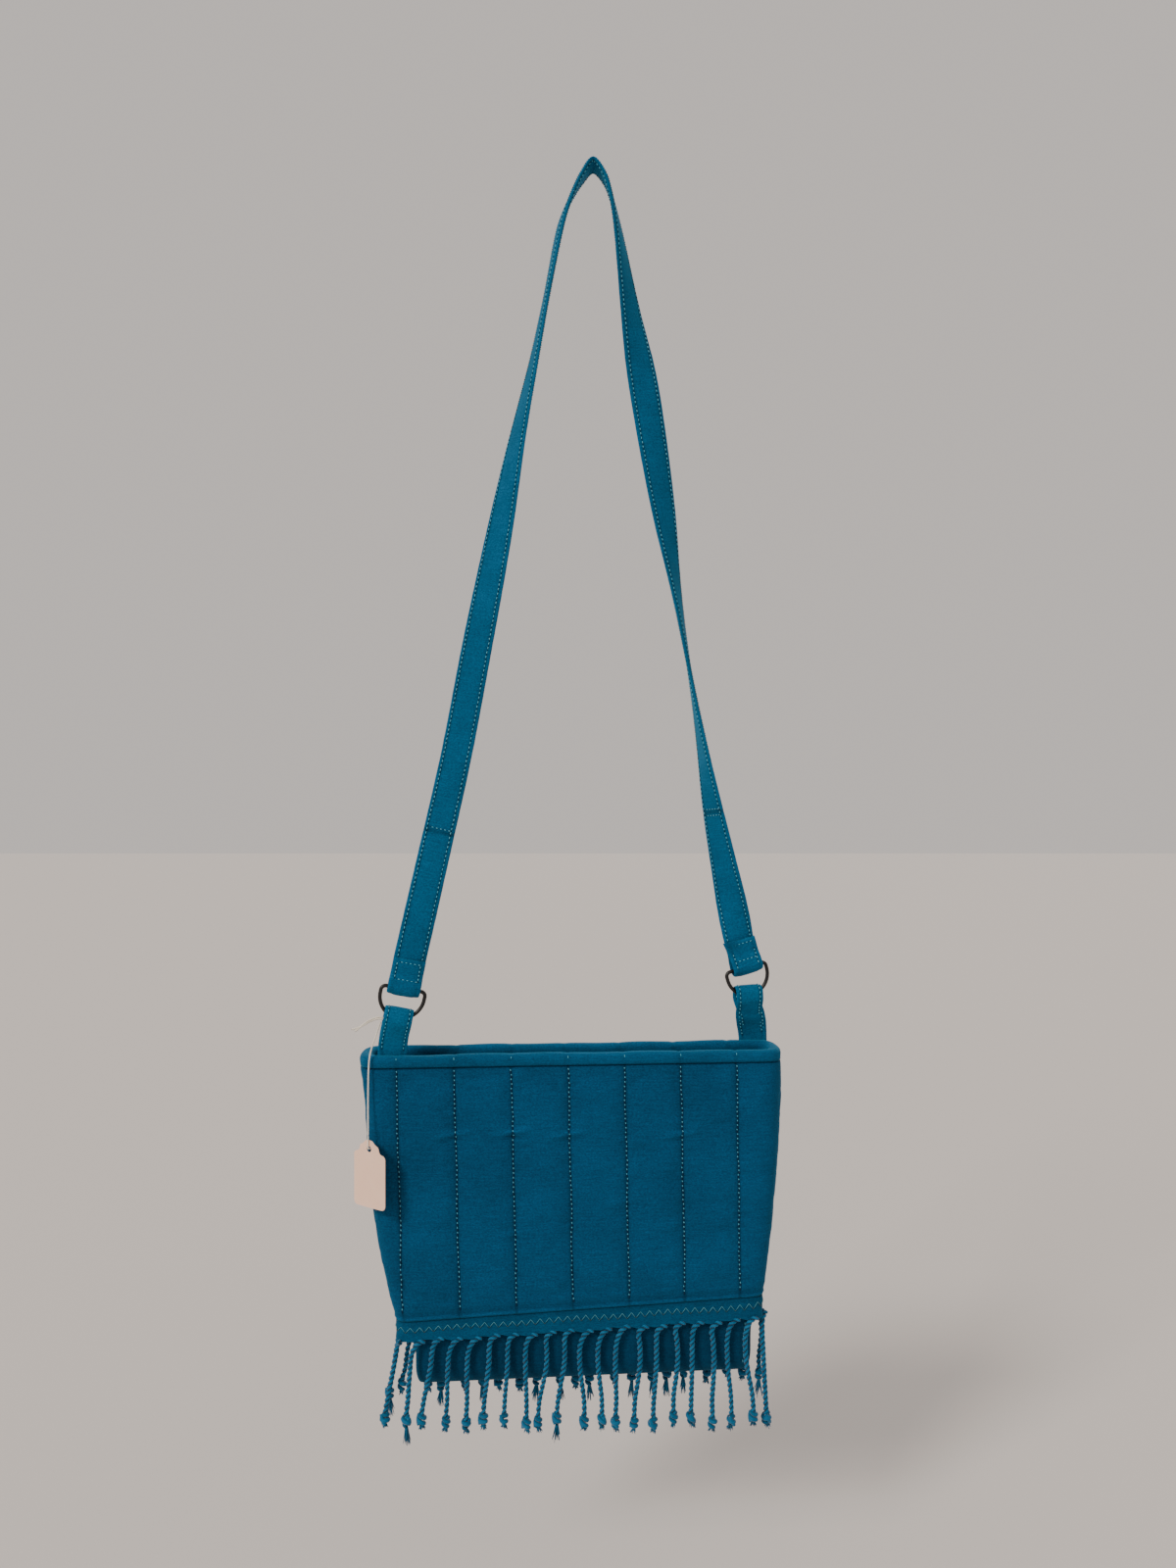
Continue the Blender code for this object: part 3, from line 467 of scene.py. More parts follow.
def card_stock(name):
    """Uncoated card: warm pale pink with faint fibres."""
    n = Nodes(name)
    fibre = n.noise(n.flat, (500, 1500, 1), 4.0)
    patch = n.noise(n.flat, 90.0, 2.0, 0.6)
    colour = n.mix(n.total((fibre, 0.5), (patch, 0.5)), (0.90, 0.57, 0.41), (0.98, 0.70, 0.55))
    return n.finish(colour, n.total((fibre, 0.15), base=0.72), fibre, 0.25, 0.00008, Specular_IOR_Level=0.25)


PANEL_CLOTH = cloth("panel_cloth", (0.0010, 0.0380, 0.1020), (0.0032, 0.0820, 0.1920), 0.0008, 0.35, True)
STRAP_CLOTH = cloth("strap_cloth", (0.0014, 0.0560, 0.1360), (0.0050, 0.1180, 0.2460), 0.0007, 0.45)
TAB_CLOTH = cloth("tab_cloth", (0.0020, 0.0680, 0.1580), (0.0060, 0.1400, 0.2850), 0.0007, 0.45)
RIM_CLOTH = cloth("rim_cloth", (0.0012, 0.0420, 0.1060), (0.0040, 0.0860, 0.1920), 0.0007, 0.45)
BASE_CLOTH = cloth("base_cloth", (0.0007, 0.0240, 0.0660), (0.0018, 0.0500, 0.1120), 0.0009, 0.25)
BAND_CLOTH = cloth("band_cloth", (0.0010, 0.0400, 0.1000), (0.0030, 0.0800, 0.1720), 0.0009, 0.25)
CORD_YARN = yarn("cord_yarn", (0.0016, 0.0560, 0.1320), (0.0060, 0.1420, 0.2780), 0.3)
PALE_THREAD = yarn("pale_thread", (0.035, 0.240, 0.360), (0.150, 0.480, 0.600), 0.1)
# Dark capsules between the pale stitches: painted shade for the needle holes
NEEDLE_HOLE_SHADE = yarn("needle_hole_shade", (0.0008, 0.012, 0.040), (0.0020, 0.030, 0.075), 0.0)
WHITE_THREAD = yarn("white_thread", (0.62, 0.56, 0.46), (0.86, 0.82, 0.74), 0.1)
RING_PAINT = wire_paint("ring_paint")
CARD = card_stock("card")
# Slot 0 is pale thread, slot 1 the painted shade of the needle holes
SEWING = [PALE_THREAD, NEEDLE_HOLE_SHADE]


# Rings


def arc_drop(u):
    return RING_STRAIGHT + math.sqrt(RING_HALF_WIDTH**2 - u**2)


def ring_frame(side, pivot, slide):
    """The ring's bar centre, bar direction and down direction, with the tab's across and down on it."""
    half, tilt = TAB_WIDTH / 2, 0.0
    for _ in range(3):
        low, high = slide - half * math.cos(tilt), slide + half * math.cos(tilt)
        tilt = math.atan2(arc_drop(high) - arc_drop(low), high - low)
    drop = (arc_drop(low) + arc_drop(high)) / 2
    down = -UP * math.cos(RING_LEAN) + ALONG * side * math.sin(RING_LEAN)
    bar = ALONG * math.cos(RING_LEAN) + UP * side * math.sin(RING_LEAN)
    fold, fall = bar * math.cos(tilt) + down * math.sin(tilt), down * math.cos(tilt) - bar * math.sin(tilt)
    return pivot - bar * slide - down * drop, bar, down, fold, fall


LEFT_RING = ring_frame(-1, LEFT_PIVOT, 0.0)
RIGHT_RING = ring_frame(1, RIGHT_PIVOT, RIGHT_TAB_SLIDE)


def build_ring(name, ring, body):
    centre, bar, down = ring[:3]
    side, quarter = RING_HALF_WIDTH - RING_CORNER, math.pi / 2
    route = arc((side, RING_CORNER), RING_CORNER, -quarter, 0, 7)
    route += arc((0, RING_STRAIGHT), RING_HALF_WIDTH, 0, 2 * quarter, 48)
    route += arc((-side, RING_CORNER), RING_CORNER, 2 * quarter, 3 * quarter, 7)
    places = [centre + bar * u + down * s for u, s in route]
    normal = bar.cross(down)
    rows = []
    for k, place in enumerate(places + places[:1]):
        way = (places[(k + 1) % len(places)] - places[k % len(places) - 1]).normalized()
        row = []
        for c, (x, y) in enumerate(arc((0, 0), WIRE_RADIUS, 0, 4 * quarter, 16)):
            row.append((place + way.cross(normal) * x + normal * y, (c * 0.0005, k * 0.001), 1.0))
        rows.append(row)
    shape = Shape()
    shape.grid(rows, wrap=True)
    shape.make(name + "_wire", [RING_PAINT], body, "wire", [name], weld=True)


build_ring("left_d_ring", LEFT_RING, "left_ring")
build_ring("right_d_ring", RIGHT_RING, "right_ring")

# The tag's string comes first of the soft things: from the tab's edge over the rim's corner to the card


def string_start():
    """Where the string leaves the left tab, beside its edge."""
    reach = TAB_WIDTH / 2 + GAP + STRING_RADIUS
    return LEFT_PIVOT + LEFT_RING[4] * STRING_KNOT_DROP - LEFT_RING[3] * reach


TAG_NORMAL = Vector((-math.sin(TAG_TURN), -math.cos(TAG_TURN), 0))
TAG_ACROSS = Vector((math.cos(TAG_TURN), -math.sin(TAG_TURN), 0))
AHEAD = TAG_NORMAL * (TAG_THICK / 2 + GAP + STRING_RADIUS)
STRING_ROUTE = [
    string_start(),
    Vector((-0.1450, -0.0195, -0.5900)),
    Vector((-0.1472, -0.0252, -0.5985)),
    Vector((-0.1482, -0.0282, -0.6080)),
    Vector((-0.1486, -0.0285, -0.6300)),
    TAG_AT + AHEAD + Vector((0, 0, TAG_HOLE_DROP + 0.004)),
    TAG_AT + AHEAD * 1.1 + Vector((0, 0, TAG_HOLE)),
    TAG_AT + AHEAD * 0.8 + Vector((0, 0, TAG_HOLE * 0.3)),
    TAG_AT - AHEAD * 1.3,
]


def twisted(shape, path, ply_radius, swing, pitch, sides):
    """Two plies wound round path. They turn against the drop, so that their front runs up to the right."""
    track = frames(path, side=Vector((1, 0, 0)))

    def tone(k, p):
        """Painted shade where the plies meet, and a painted highlight on their crowns."""
        return 0.10 + 1.30 * ((p - path[k]).length / (swing + ply_radius)) ** 2.6

    for ply in (0, 0.5):
        middle = []
        for place, side, other, length in track:
            a = 2 * math.pi * (length / pitch + ply)
            middle.append(place + (side * math.cos(a) + other * math.sin(a)) * swing)
        shape.tube(middle, ply_radius, sides, 0, tone)
    return track[-1][3]


string_path = [Vector(p) for p in spline([tuple(p) for p in STRING_ROUTE], 0.00045)]
string_shape = Shape()
STRING_LENGTH = twisted(string_shape, string_path, STRING_PLY, STRING_SWING, STRING_PITCH, 7)
tag_thread = string_shape.make("tag_thread", [WHITE_THREAD], "tag", "thread", ["tag_string"])

# The string's doubled end stands out to the left behind the tab

end_shape = Shape()
end_start = string_start() + Vector((0.0030, 0.0030, 0.0010))
for offset, reach in ((0.0, -0.0225), (0.0011, -0.0200)):
    end_route = [
        end_start + Vector((0.0, 0.0, offset)),
        end_start + Vector((-0.0050, 0.0010, 0.0005 + offset)),
        end_start + Vector((-0.0105, 0.0008, -0.0012 + offset)),
        end_start + Vector((-0.0160, -0.0006, -0.0042 + offset * 0.4)),
        end_start + Vector((reach, -0.0016, -0.0062 - offset)),
    ]
    twisted(end_shape, smooth_path(end_route, 0.0005), END_PLY, END_SWING, STRING_PITCH, 6)
end_shape.make("tag_thread_end", [WHITE_THREAD], "bag", "thread")


# Tag


def tag_outline():
    """Half of the card's outline from its top to its bottom, from the hole's centre: across, up."""
    half, top, low = TAG_WIDTH / 2, TAG_HOLE_DROP, TAG_HOLE_DROP - TAG_HEIGHT
    side, shoulder = half - TAG_CORNER, TAG_HOLE_DROP - TAG_SHOULDER
    points = [
        (0.0, top),
        (half * 0.2, top - 0.0005),
        (half * 0.36, top - 0.0024),
        (half * 0.56, top - 0.0040),
        (half * 0.66, shoulder + 0.0006),
        (half * 0.70, shoulder),
    ]
    points += arc((side, shoulder - 0.0035), TAG_CORNER, math.pi / 2, 0, 3)
    points += [(half, shoulder - 0.0045), (half, low + 0.0040)]
    points += arc((side, low + TAG_CORNER), TAG_CORNER, 0, -math.pi / 2, 3)
    return points + [(half - 0.0040, low), (0.0, low)]


def build_tag():
    right = [(p[0], p[2]) for p in curve([(x, 0.0, z) for x, z in tag_outline()], 0.0007)]
    edge = right + [(-x, z) for x, z in reversed(right[1:])]

    def outline_row(share, depth, stretch=1.0):
        """Cells at a share of the way from the hole to the edge, on a card that bows a little."""
        row = []
        for x, z in edge + edge[:1]:
            a = math.atan2(z, x)
            hole_x, hole_z = TAG_HOLE * math.cos(a), TAG_HOLE * math.sin(a)
            x, z = (hole_x + (x - hole_x) * share) * stretch, hole_z + (z - hole_z) * share
            bow = TAG_BOW * ((x / TAG_WIDTH * 2) ** 2 - 0.3) * min(1.0, math.hypot(x, z) / 0.008)
            row.append((TAG_AT + TAG_ACROSS * x + UPWARD * z + TAG_NORMAL * (depth - bow), (x, z), 1.0))
        return row

    shares = (0.0, 0.35, 0.7, 1.0)
    rows = [outline_row(share, TAG_THICK / 2) for share in shares]
    rows.append(outline_row(1.0, 0.0, 1 + TAG_EDGE_BULGE / (TAG_WIDTH / 2)))
    rows += [outline_row(share, -TAG_THICK / 2) for share in reversed(shares)]
    shape = Shape()
    shape.grid(rows + rows[:1], wrap=True)
    return shape.make("tag_card", [CARD], "tag", "card", ["hang_tag"], smooth=False, weld=True)


tag_card = build_tag()

# Strap, with the strips and stitches that the tabs share with it


def strap_end(ring, slide):
    """Places and directions across on the strap's turned end, from the lap's end round the ring's bar."""
    bar, down = ring[1:3]
    centre = ring[0] + bar * slide
    radius = STRAP_LOOP_ROOM + STRAP_THICK / 2
    lift = radius - (WIRE_RADIUS + STRAP_BAR_GAP + STRAP_THICK / 2)
    layer = (STRAP_THICK + GAP) / 2
    behind = [
        centre - down * STRAP_LAP + BACK * layer,
        centre - down * (STRAP_LAP * 0.6) + BACK * layer,
        centre - down * (lift + radius * 2.2) + BACK * layer,
        centre - down * (lift + radius * 1.0) + BACK * (radius + layer) / 1.7,
    ]
    front = [p - BACK * 2 * (p - centre).dot(BACK) for p in reversed(behind)]
    return [(p, -bar) for p in behind + half_turn(centre - down * lift, BACK, down, radius) + front]


def strap_half(route, last, side):
    """Places and directions across from the hook's top down one side to the turned end."""
    end = last[0][0]
    rows = [(HOOK_POINT[0], 0.0, HOOK_POINT[1] + STRAP_THICK / 2, HOOK_POINT[2])]
    rows += [(x, end.y * z / end.z, z, twist) for x, z, twist in route]
    rows.append((end.x, end.y, end.z, 0 if side < 0 else 180))
    samples = spline(rows, STRAP_STEP)[:-1]
    places = [Vector(sample[:3]) for sample in samples] + [end]
    found = []
    for k, sample in enumerate(samples):
        tangent = (places[k + 1] - places[max(k - 1, 0)]).normalized() * -side if k else Vector((1, 0, 0))
        share = places[k].z / end.z
        facing = (Vector((0, 1, 0)) * (1 - share) + BACK * share).normalized()
        inward = facing.cross(tangent).normalized()
        twist = math.radians(sample[3])
        found.append((places[k], inward * math.cos(twist) + tangent.cross(inward) * math.sin(twist)))
    return found


def strip_track(path, step):
    """Frames about a step apart along a strip whose path gives places and directions across."""
    found = curve([(*place, *across) for place, across in path], step)
    return frames([Vector(row[:3]) for row in found], [Vector(row[3:6]).normalized() for row in found])


def strip(shape, track, width, thick, inset, seed, seams=(), curl=0.0):
    """A folded and edge-stitched cloth strip: soft edges, a shallow groove along both rows of stitches."""
    spread = [-math.cos(math.pi * i / 16) for i in range(17)]
    around = [(1, a) for a in spread] + [(-1, a) for a in spread[-2:0:-1]]
    total, rows = track[-1][3], []
    for place, side, normal, length in track:
        joint = sum(hill((length - seam) / 0.0016) for seam in seams)
        ends = min(1.0, min(length, total - length) / 0.0015 + 0.35)
        corner = curl * max(0.0, 1 - (total - length) / 0.011) ** 1.4
        row = []
        for face, a in around:
            groove = hill((abs(a) - (1 - inset / (width / 2))) / 0.085)
            body = (1 - abs(a) ** 5) ** 0.5 * (0.93 + 0.07 * math.cos(a * 2.4))
            across = a * width / 2 * (1 - 0.010 * (1 + rough((length * 160, seed, face * 0.2), 1.0)))
            at = place + side * across
            outer = max(0.0, (place.x - at.x) / (width / 2))
            at = at + CORNER_CURL * (corner * outer)
            lump = 0.10 * rough(at, 210, seed) + 0.12 * rough(at, 70, seed + 3)
            lift = thick / 2 * (body * (1 + lump) - 0.20 * groove - 0.22 * joint * body) * ends
            # Painted shade in the grooves along the stitches and in the curled corner's pocket; darker along
            # the sewn joins and paler towards the edges, with uneven random tone
            tone = 1.0 - 0.26 * groove - 0.45 * joint + 0.14 * abs(a) ** 6 + 0.10 * rough(at, 90, seed + 8)
            tone -= 1.4 * corner * outer * (1 - outer)
            row.append((at + normal * lift * face, (across + (0.05 if face < 0 else 0.0), length), tone))
        rows.append(row + row[:1])
    shape.grid(rows, wrap=True, caps=True)


def along(track, length):
    """Place, side and normal at a length along a strip's track."""
    k = bisect.bisect_right(track, length, 1, len(track) - 1, key=lambda row: row[3])
    a, b = track[k - 1], track[k]
    t = (length - a[3]) / max(b[3] - a[3], 1e-9)
    return a[0].lerp(b[0], t), a[1].lerp(b[1], t).normalized(), a[2].lerp(b[2], t).normalized()


chance = random.Random(11)


def strip_stitches(shape, track, across, thick, start, end, pitch, radius):
    """A row of lockstitches along both faces: pale thread on top, with painted shade for the needle hole
    between.
    """
    for k in range(max(1, int((end - start) / pitch))):
        for face in (1, -1):
            wander = chance.uniform(-0.00015, 0.00015)
            marks = []
            for share in (0.08, 0.56, 0.66, 0.96):
                place, side, normal = along(track, start + pitch * k + pitch * share)
                lift = normal * face * thick / 2 * 0.80
                marks.append((place + side * (across + wander) + lift, normal * face))
            shape.stitch(marks[0][0], marks[1][0], marks[0][1], radius, 0)
            # The second, dark capsule is painted shade for the needle hole
            shape.stitch(marks[2][0], marks[3][0], marks[2][1], radius * 0.75, 1)


def cross_stitches(shape, track, length, half, thick, pitch, radius):
    """A row of lockstitches across both faces, with painted shade for the needle hole after each."""
    place, side, normal = along(track, length)
    for k in range(int(2 * half / pitch)):
        for face in (1, -1):
            lift = normal * face * thick / 2 * 0.86
            a, b, c = [place + side * (-half + pitch * (k + share)) + lift for share in (0.1, 0.62, 0.98)]
            shape.stitch(a, b, normal * face, radius, 0)
            # The dark capsule is painted shade for the needle hole
            shape.stitch(b, c, normal * face, radius * 0.7, 1)


def length_at(track, height, side):
    """The length along the track where it passes a height on the left (-1) or right (1) half."""
    middle = max(range(len(track)), key=lambda k: track[k][0].z)
    half = track[:middle] if side < 0 else track[middle:]
    return min(half, key=lambda row: abs(row[0].z - height))[3]


def build_strap():
    left_end = strap_end(LEFT_RING, 0.0)
    right_end = strap_end(RIGHT_RING, RIGHT_STRAP_SLIDE)
    left_half = strap_half(LEFT_ROUTE, left_end, -1)
    right_half = strap_half(RIGHT_ROUTE, right_end, 1)
    track = strip_track(left_end[::-1] + left_half[::-1] + right_half[1:] + right_end, 0.0016)
    total = track[-1][3]
    left_join, right_join = length_at(track, LEFT_JOIN_HEIGHT, -1), length_at(track, RIGHT_JOIN_HEIGHT, 1)
    shape = Shape()
    strip(shape, track, STRAP_WIDTH, STRAP_THICK, STRAP_SEAM, 2.0, (left_join, right_join), curl=1.0)
    shape.make("strap_band", [STRAP_CLOTH], "strap", "strap_cloth", ["strap"])

    sewing = Shape()
    # The edge stitches start past the turned ends, and the lap has its own
    half, turned, lap = STRAP_WIDTH / 2, STRAP_LAP + 0.012, STRAP_LAP - 0.006
    for across in (-1, 1):
        edge = across * (half - STRAP_SEAM)
        strip_stitches(sewing, track, edge, STRAP_THICK, turned, total - turned, STITCH_PITCH, THREAD)
        edge = across * (half - LAP_SEAM)
        for start in (0.003, total - STRAP_LAP + 0.001):
            strip_stitches(sewing, track, edge, STRAP_THICK, start, start + lap, CLOSE_PITCH, FULL_THREAD)
    for length in (left_join + JOIN_SEAM, right_join - JOIN_SEAM, right_join + JOIN_SEAM):
        cross_stitches(sewing, track, length, half - 0.003, STRAP_THICK, CLOSE_PITCH, THIN_THREAD)
    for length in (0.0025, 0.0145, total - 0.0025, total - 0.0145):
        cross_stitches(sewing, track, length, half - LAP_SEAM, STRAP_THICK, CLOSE_PITCH, THREAD)
    sewing.make("strap_stitches", SEWING, "strap", "thread")


build_strap()


# Bag body


def across_share(u):
    """0 at the bag's left end and 1 at its right end."""
    return clamp((u + BAG_HALF) / (2 * BAG_HALF))


def sag(u, drop):
    """How much longer the cloth hangs at a place, which is most at the lower seam's left end."""
    across = across_share(u)
    seam = SEAM_SAG * (1 - across)
    if drop <= PANEL_DROP:
        return seam * max(drop / PANEL_DROP, 0.0) ** 2
    share = min((drop - PANEL_DROP) / (BODY_DROP - PANEL_DROP), 1.0)
    return seam + (BASE_LEFT_SAG + (BASE_RIGHT_SAG - BASE_LEFT_SAG) * across - seam) * share


def bag_point(u, v, drop):
    c, s = math.cos(BAG_YAW), math.sin(BAG_YAW)
    return BAG_CENTRE + Vector((u * c - v * s, u * s + v * c, -drop - sag(u, drop)))


def bag_way(u, v):
    """A direction (u, v) on the bag, turned as the bag is."""
    return (bag_point(u, v, 0) - bag_point(0, 0, 0)).normalized()


def body_size(drop):
    """How far the bag reaches to the right, to the left and in depth at a drop, down to the lower seam."""
    t = clamp((drop - STRAIGHT_DROP) / (PANEL_DROP - STRAIGHT_DROP))
    width = RIM_HALF_WIDTH + (SEAM_HALF_WIDTH - RIM_HALF_WIDTH) * t**WIDTH_TAPER
    depth = RIM_HALF_DEPTH + (SEAM_HALF_DEPTH - RIM_HALF_DEPTH) * t**DEPTH_TAPER
    extra = RIM_LEFT_EXTRA * (1 - t) ** 4 + LEFT_BULGE * math.sin(math.pi * t)
    return width + 0.0014 * math.sin(math.pi * t), width + extra, depth


def base_size(drop):
    """The same below the lower seam."""
    recess = BAND_THICK + 2 * GAP
    t = clamp((drop - PANEL_DROP) / (BODY_DROP - PANEL_DROP))
    width = SEAM_HALF_WIDTH - recess + (BASE_HALF_WIDTH - SEAM_HALF_WIDTH + recess) * min(2 * t, 1.0) ** 0.7
    depth = SEAM_HALF_DEPTH - recess + (BASE_HALF_DEPTH - SEAM_HALF_DEPTH + recess) * t
    rounding = 1 - max(0.0, (t - 0.72) / 0.28) ** 2
    width -= BASE_HALF_DEPTH * 0.5 * (1 - math.sqrt(max(0.0, rounding)))
    depth *= math.sqrt(max(0.02, rounding))
    return width + BASE_RIGHT_EXTRA * min(2 * t, 1.0), width, depth


def end_angle(share):
    """The angle round a rounded end at a share, or None on the straight between the ends."""
    turned = min(share, 1 - share) / END_SHARE
    return math.pi / 2 * turned if share <= END_SHARE or share >= 1 - END_SHARE else None


def section_at(size, inset, side, share):
    """Point (u, v) at a share of the way from the left seam round one side to the right seam."""
    right, left, depth = size
    end, deep, a = END_ROUND - inset, side * (depth - inset), end_angle(share)
    if a is not None:
        reach, swing = (left, -1) if share < 0.5 else (right, 1)
        bend = end * abs(math.cos(a)) ** END_FULLNESS
        return swing * (reach - END_ROUND + bend), deep * math.sin(a) ** END_FULLNESS
    low, high = END_ROUND - left, right - END_ROUND
    return low + (high - low) * (share - END_SHARE) / (1 - 2 * END_SHARE), deep


def section_normal(side, share):
    """Outward direction (u, v) on the bag's section, near enough for cloth."""
    a = end_angle(share)
    if a is None:
        return 0.0, float(side)
    return math.copysign(math.cos(a), share - 0.5), side * math.sin(a)


def quilt_at(number, drop):
    return QUILT_FIRST + QUILT_PITCH * number + QUILT_LEAN * drop / PANEL_DROP


def line_at(number, drop):
    """The quilt line's place, kept on the front of the rounded left end."""
    return max(quilt_at(number, drop), END_ROUND * 0.5 - body_size(drop)[1])


def line_distance(u, drop):
    return min(abs(u - line_at(number, drop)) for number in range(QUILT_LINES))


STRAIGHT_COLUMNS = PANEL_COLUMNS - 2 * END_COLUMNS
SHARES = [END_SHARE * i / END_COLUMNS for i in range(END_COLUMNS)]
SHARES += [END_SHARE + (1 - 2 * END_SHARE) * i / (STRAIGHT_COLUMNS - 1) for i in range(STRAIGHT_COLUMNS)]
SHARES += [1 - END_SHARE + END_SHARE * (i + 1) / END_COLUMNS for i in range(END_COLUMNS)]
# Every other column, once round the bag
LOOP = [(-1, share) for share in SHARES[::2]] + [(1, share) for share in SHARES[-3:0:-2]]


# Cloth simulation of the quilted faces


def puffed_face(side):
    """Outward moves of one face cloth, held along the quilting and its edges, with the wadding's push."""
    points, held, facings = [], [], []
    for r in range(SIM_ROWS):
        drop = PANEL_TOP + PANEL_SPAN * r / (SIM_ROWS - 1)
        for c in range(SIM_COLUMNS):
            share = c / (SIM_COLUMNS - 1)
            u, v = section_at(body_size(drop), 0.0, side, share)
            edge = drop < PUFF_START + SIM_TOP_HELD or r >= SIM_ROWS - 3 or c in (0, SIM_COLUMNS - 1)
            if edge or line_distance(u, drop) < SIM_LINE_HELD:
                held.append(len(points))
            points.append(bag_point(u, v, drop))
            facings.append(bag_way(*section_normal(side, share)))
    faces = []
    for r in range(SIM_ROWS - 1):
        for c in range(SIM_COLUMNS - 1):
            a, b = r * SIM_COLUMNS + c, (r + 1) * SIM_COLUMNS + c
            faces.append((a, b, b + 1, a + 1) if side < 0 else (a, a + 1, b + 1, b))
    mesh = bpy.data.meshes.new("face_cloth")
    mesh.from_pydata([tuple(p) for p in points], [], faces)
    item = add_object("face_cloth", mesh)
    item.vertex_groups.new(name="held").add(held, 1.0, "ADD")
    rules = item.modifiers.new("cloth", "CLOTH").settings
    rules.quality = 5
    rules.vertex_group_mass = "held"
    rules.use_pressure = True
    rules.uniform_pressure_force = SIM_PRESSURE
    rules.shrink_min = -SIM_SPARE
    rules.effector_weights.gravity = 0.0
    for step in range(1, SIM_FRAMES + 1):
        bpy.context.scene.frame_set(step)
    settled = item.evaluated_get(bpy.context.evaluated_depsgraph_get()).to_mesh()
    moves = [(settled.vertices[i].co - p).dot(facings[i]) for i, p in enumerate(points)]
    bpy.data.objects.remove(item)
    bpy.data.meshes.remove(mesh)
    bpy.context.scene.frame_set(1)
    return np.clip(np.array(moves).reshape(SIM_ROWS, SIM_COLUMNS), -SIM_CAP / 2, SIM_CAP)


FACES = {side: puffed_face(side) for side in (-1, 1)}


def puff_at(side, drop, u):
    """The simulated cloth's outward move at a place, between the four nearest points."""
    right, left, _ = body_size(drop)
    low, high = END_ROUND - left, right - END_ROUND
    share = END_SHARE + (1 - 2 * END_SHARE) * (u - low) / (high - low)
    past = min(max(low - u, u - high, 0.0) / END_ROUND, 1.0)
    if past > 0:
        turn = 2 * END_SHARE / math.pi * math.acos(past ** (1 / END_FULLNESS))
        share = turn if u < low else 1 - turn
    row = clamp((drop - PANEL_TOP) / PANEL_SPAN, 0.0, 0.9999) * (SIM_ROWS - 1)
    column = clamp(share, 0.0, 0.9999) * (SIM_COLUMNS - 1)
    r, c = int(row), int(column)
    a, b = row - r, column - c
    upper, lower = FACES[side][r : r + 2, c : c + 2] @ np.array((1 - b, b))
    return float(upper * (1 - a) + lower * a)


def crease_at(side, drop, u):
    """How far the creases raise or sink the cloth at a place."""
    crease = 0.0
    for number, height, strength in CREASES if side < 0 else ():
        along_line = u - quilt_at(number, drop)
        if -0.016 < along_line < 0.014:
            across_line = drop + height + along_line * 0.14
            fade = strength * 0.0026 * (1 - abs(along_line + 0.001) / 0.016)
            crease += fade * (hill(across_line / 0.0016) - 0.6 * hill((across_line - 0.0028) / 0.0018))
    return clamp(crease, -0.0010, 0.0012)


def panel_relief(side, drop, u):
    """How far the quilted cloth stands out at a place on the panel, and its painted light there: painted
    shade in the quilt grooves and sunk creases, painted highlights on the puffs and raised folds.
    """
    near = line_distance(u, drop)
    groove, wide = hill(near / 0.0009), hill(near / 0.0042)
    puff, crease = puff_at(side, drop, u), crease_at(side, drop, u)
    wave = 0.00035 * rough((u * 22, drop * 60, side * 3.0))
    pucker = wide * 0.00030 * rough((u * 70, drop * 420, side * 5.0))
    relief = puff + wave + pucker - 0.0005 * groove - 0.0003 * wide + crease
    # Painted light that follows the relief: shade where the cloth sinks, highlights where it stands out
    tone = 1.0 - 0.42 * groove - 0.05 * wide + 200 * wave + 480 * crease + 300 * pucker
    return relief, tone + 60 * (puff - 0.0005)


def panel_rows(side):
    """Rows of cells on the panel's outside and on its inside."""
    outer, inner = [], []
    for r in range(PANEL_ROWS):
        drop = PANEL_TOP + PANEL_SPAN * r / (PANEL_ROWS - 1)
        size = body_size(drop)
        swell = clamp((drop - PUFF_START) / PUFF_DROP)
        full = swell * swell * (3 - 2 * swell)
        foot = clamp((PANEL_DROP - drop - 0.0015) / 0.007)
        ridge = hill((PANEL_DROP - drop - 0.0014) / 0.0008)
        hollow = (1 - foot) * (1 - ridge)
        # Painted shade just under the binding and in the hollow above the lower seam, and a painted
        # highlight on the seam's ridge
        dark = 1 - 0.16 * hill((drop - BINDING_DROP) / 0.0022) - 0.30 * hollow + 0.55 * ridge
        inset = BINDING_LEG + GAP
        depth = inset * (1 - swell) + EDGE_THICK + (PANEL_THICK - EDGE_THICK) * swell
        front, rear = [], []
        for share in SHARES:
            seam = GAP / 2 * side if share in (0.0, 1.0) else 0.0
            u, v = section_at(size, inset * (1 - full), side, share)
            relief, tone = panel_relief(side, drop, u)
            away = full * (relief * foot + 0.0006 * ridge - 0.0005 * hollow)
            away *= min(1.0, min(share, 1 - share) / 0.012)
            out_u, out_v = section_normal(side, share)
            u, v = u + out_u * away, v + out_v * away
            place = (u + side * 0.4, drop)
            front.append((bag_point(u, v + seam, drop), place, tone * dark))
            u, v = section_at(size, depth, side, share)
            # The inside gets painted shade
            rear.append((bag_point(u, v + seam, drop), place, 0.6))
        outer.append(front)
        inner.append(rear)
    return outer, inner


def build_panel(name, side, node):
    outer, inner = panel_rows(side)
    shape = Shape()
    a = shape.grid(outer, 0)
    b = shape.grid(inner, 1)
    wide, last = len(SHARES), (PANEL_ROWS - 1) * len(SHARES)
    for c in range(wide - 1):
        shape.face((a + c, a + c + 1, b + c + 1, b + c))
        shape.face((a + last + c, a + last + c + 1, b + last + c + 1, b + last + c))
    for r in range(PANEL_ROWS - 1):
        for c in (0, wide - 1):
            shape.face((a + r * wide + c, a + (r + 1) * wide + c, b + (r + 1) * wide + c, b + r * wide + c))
    item = shape.make(name, [PANEL_CLOTH, BASE_CLOTH], "bag", "cloth", [node])


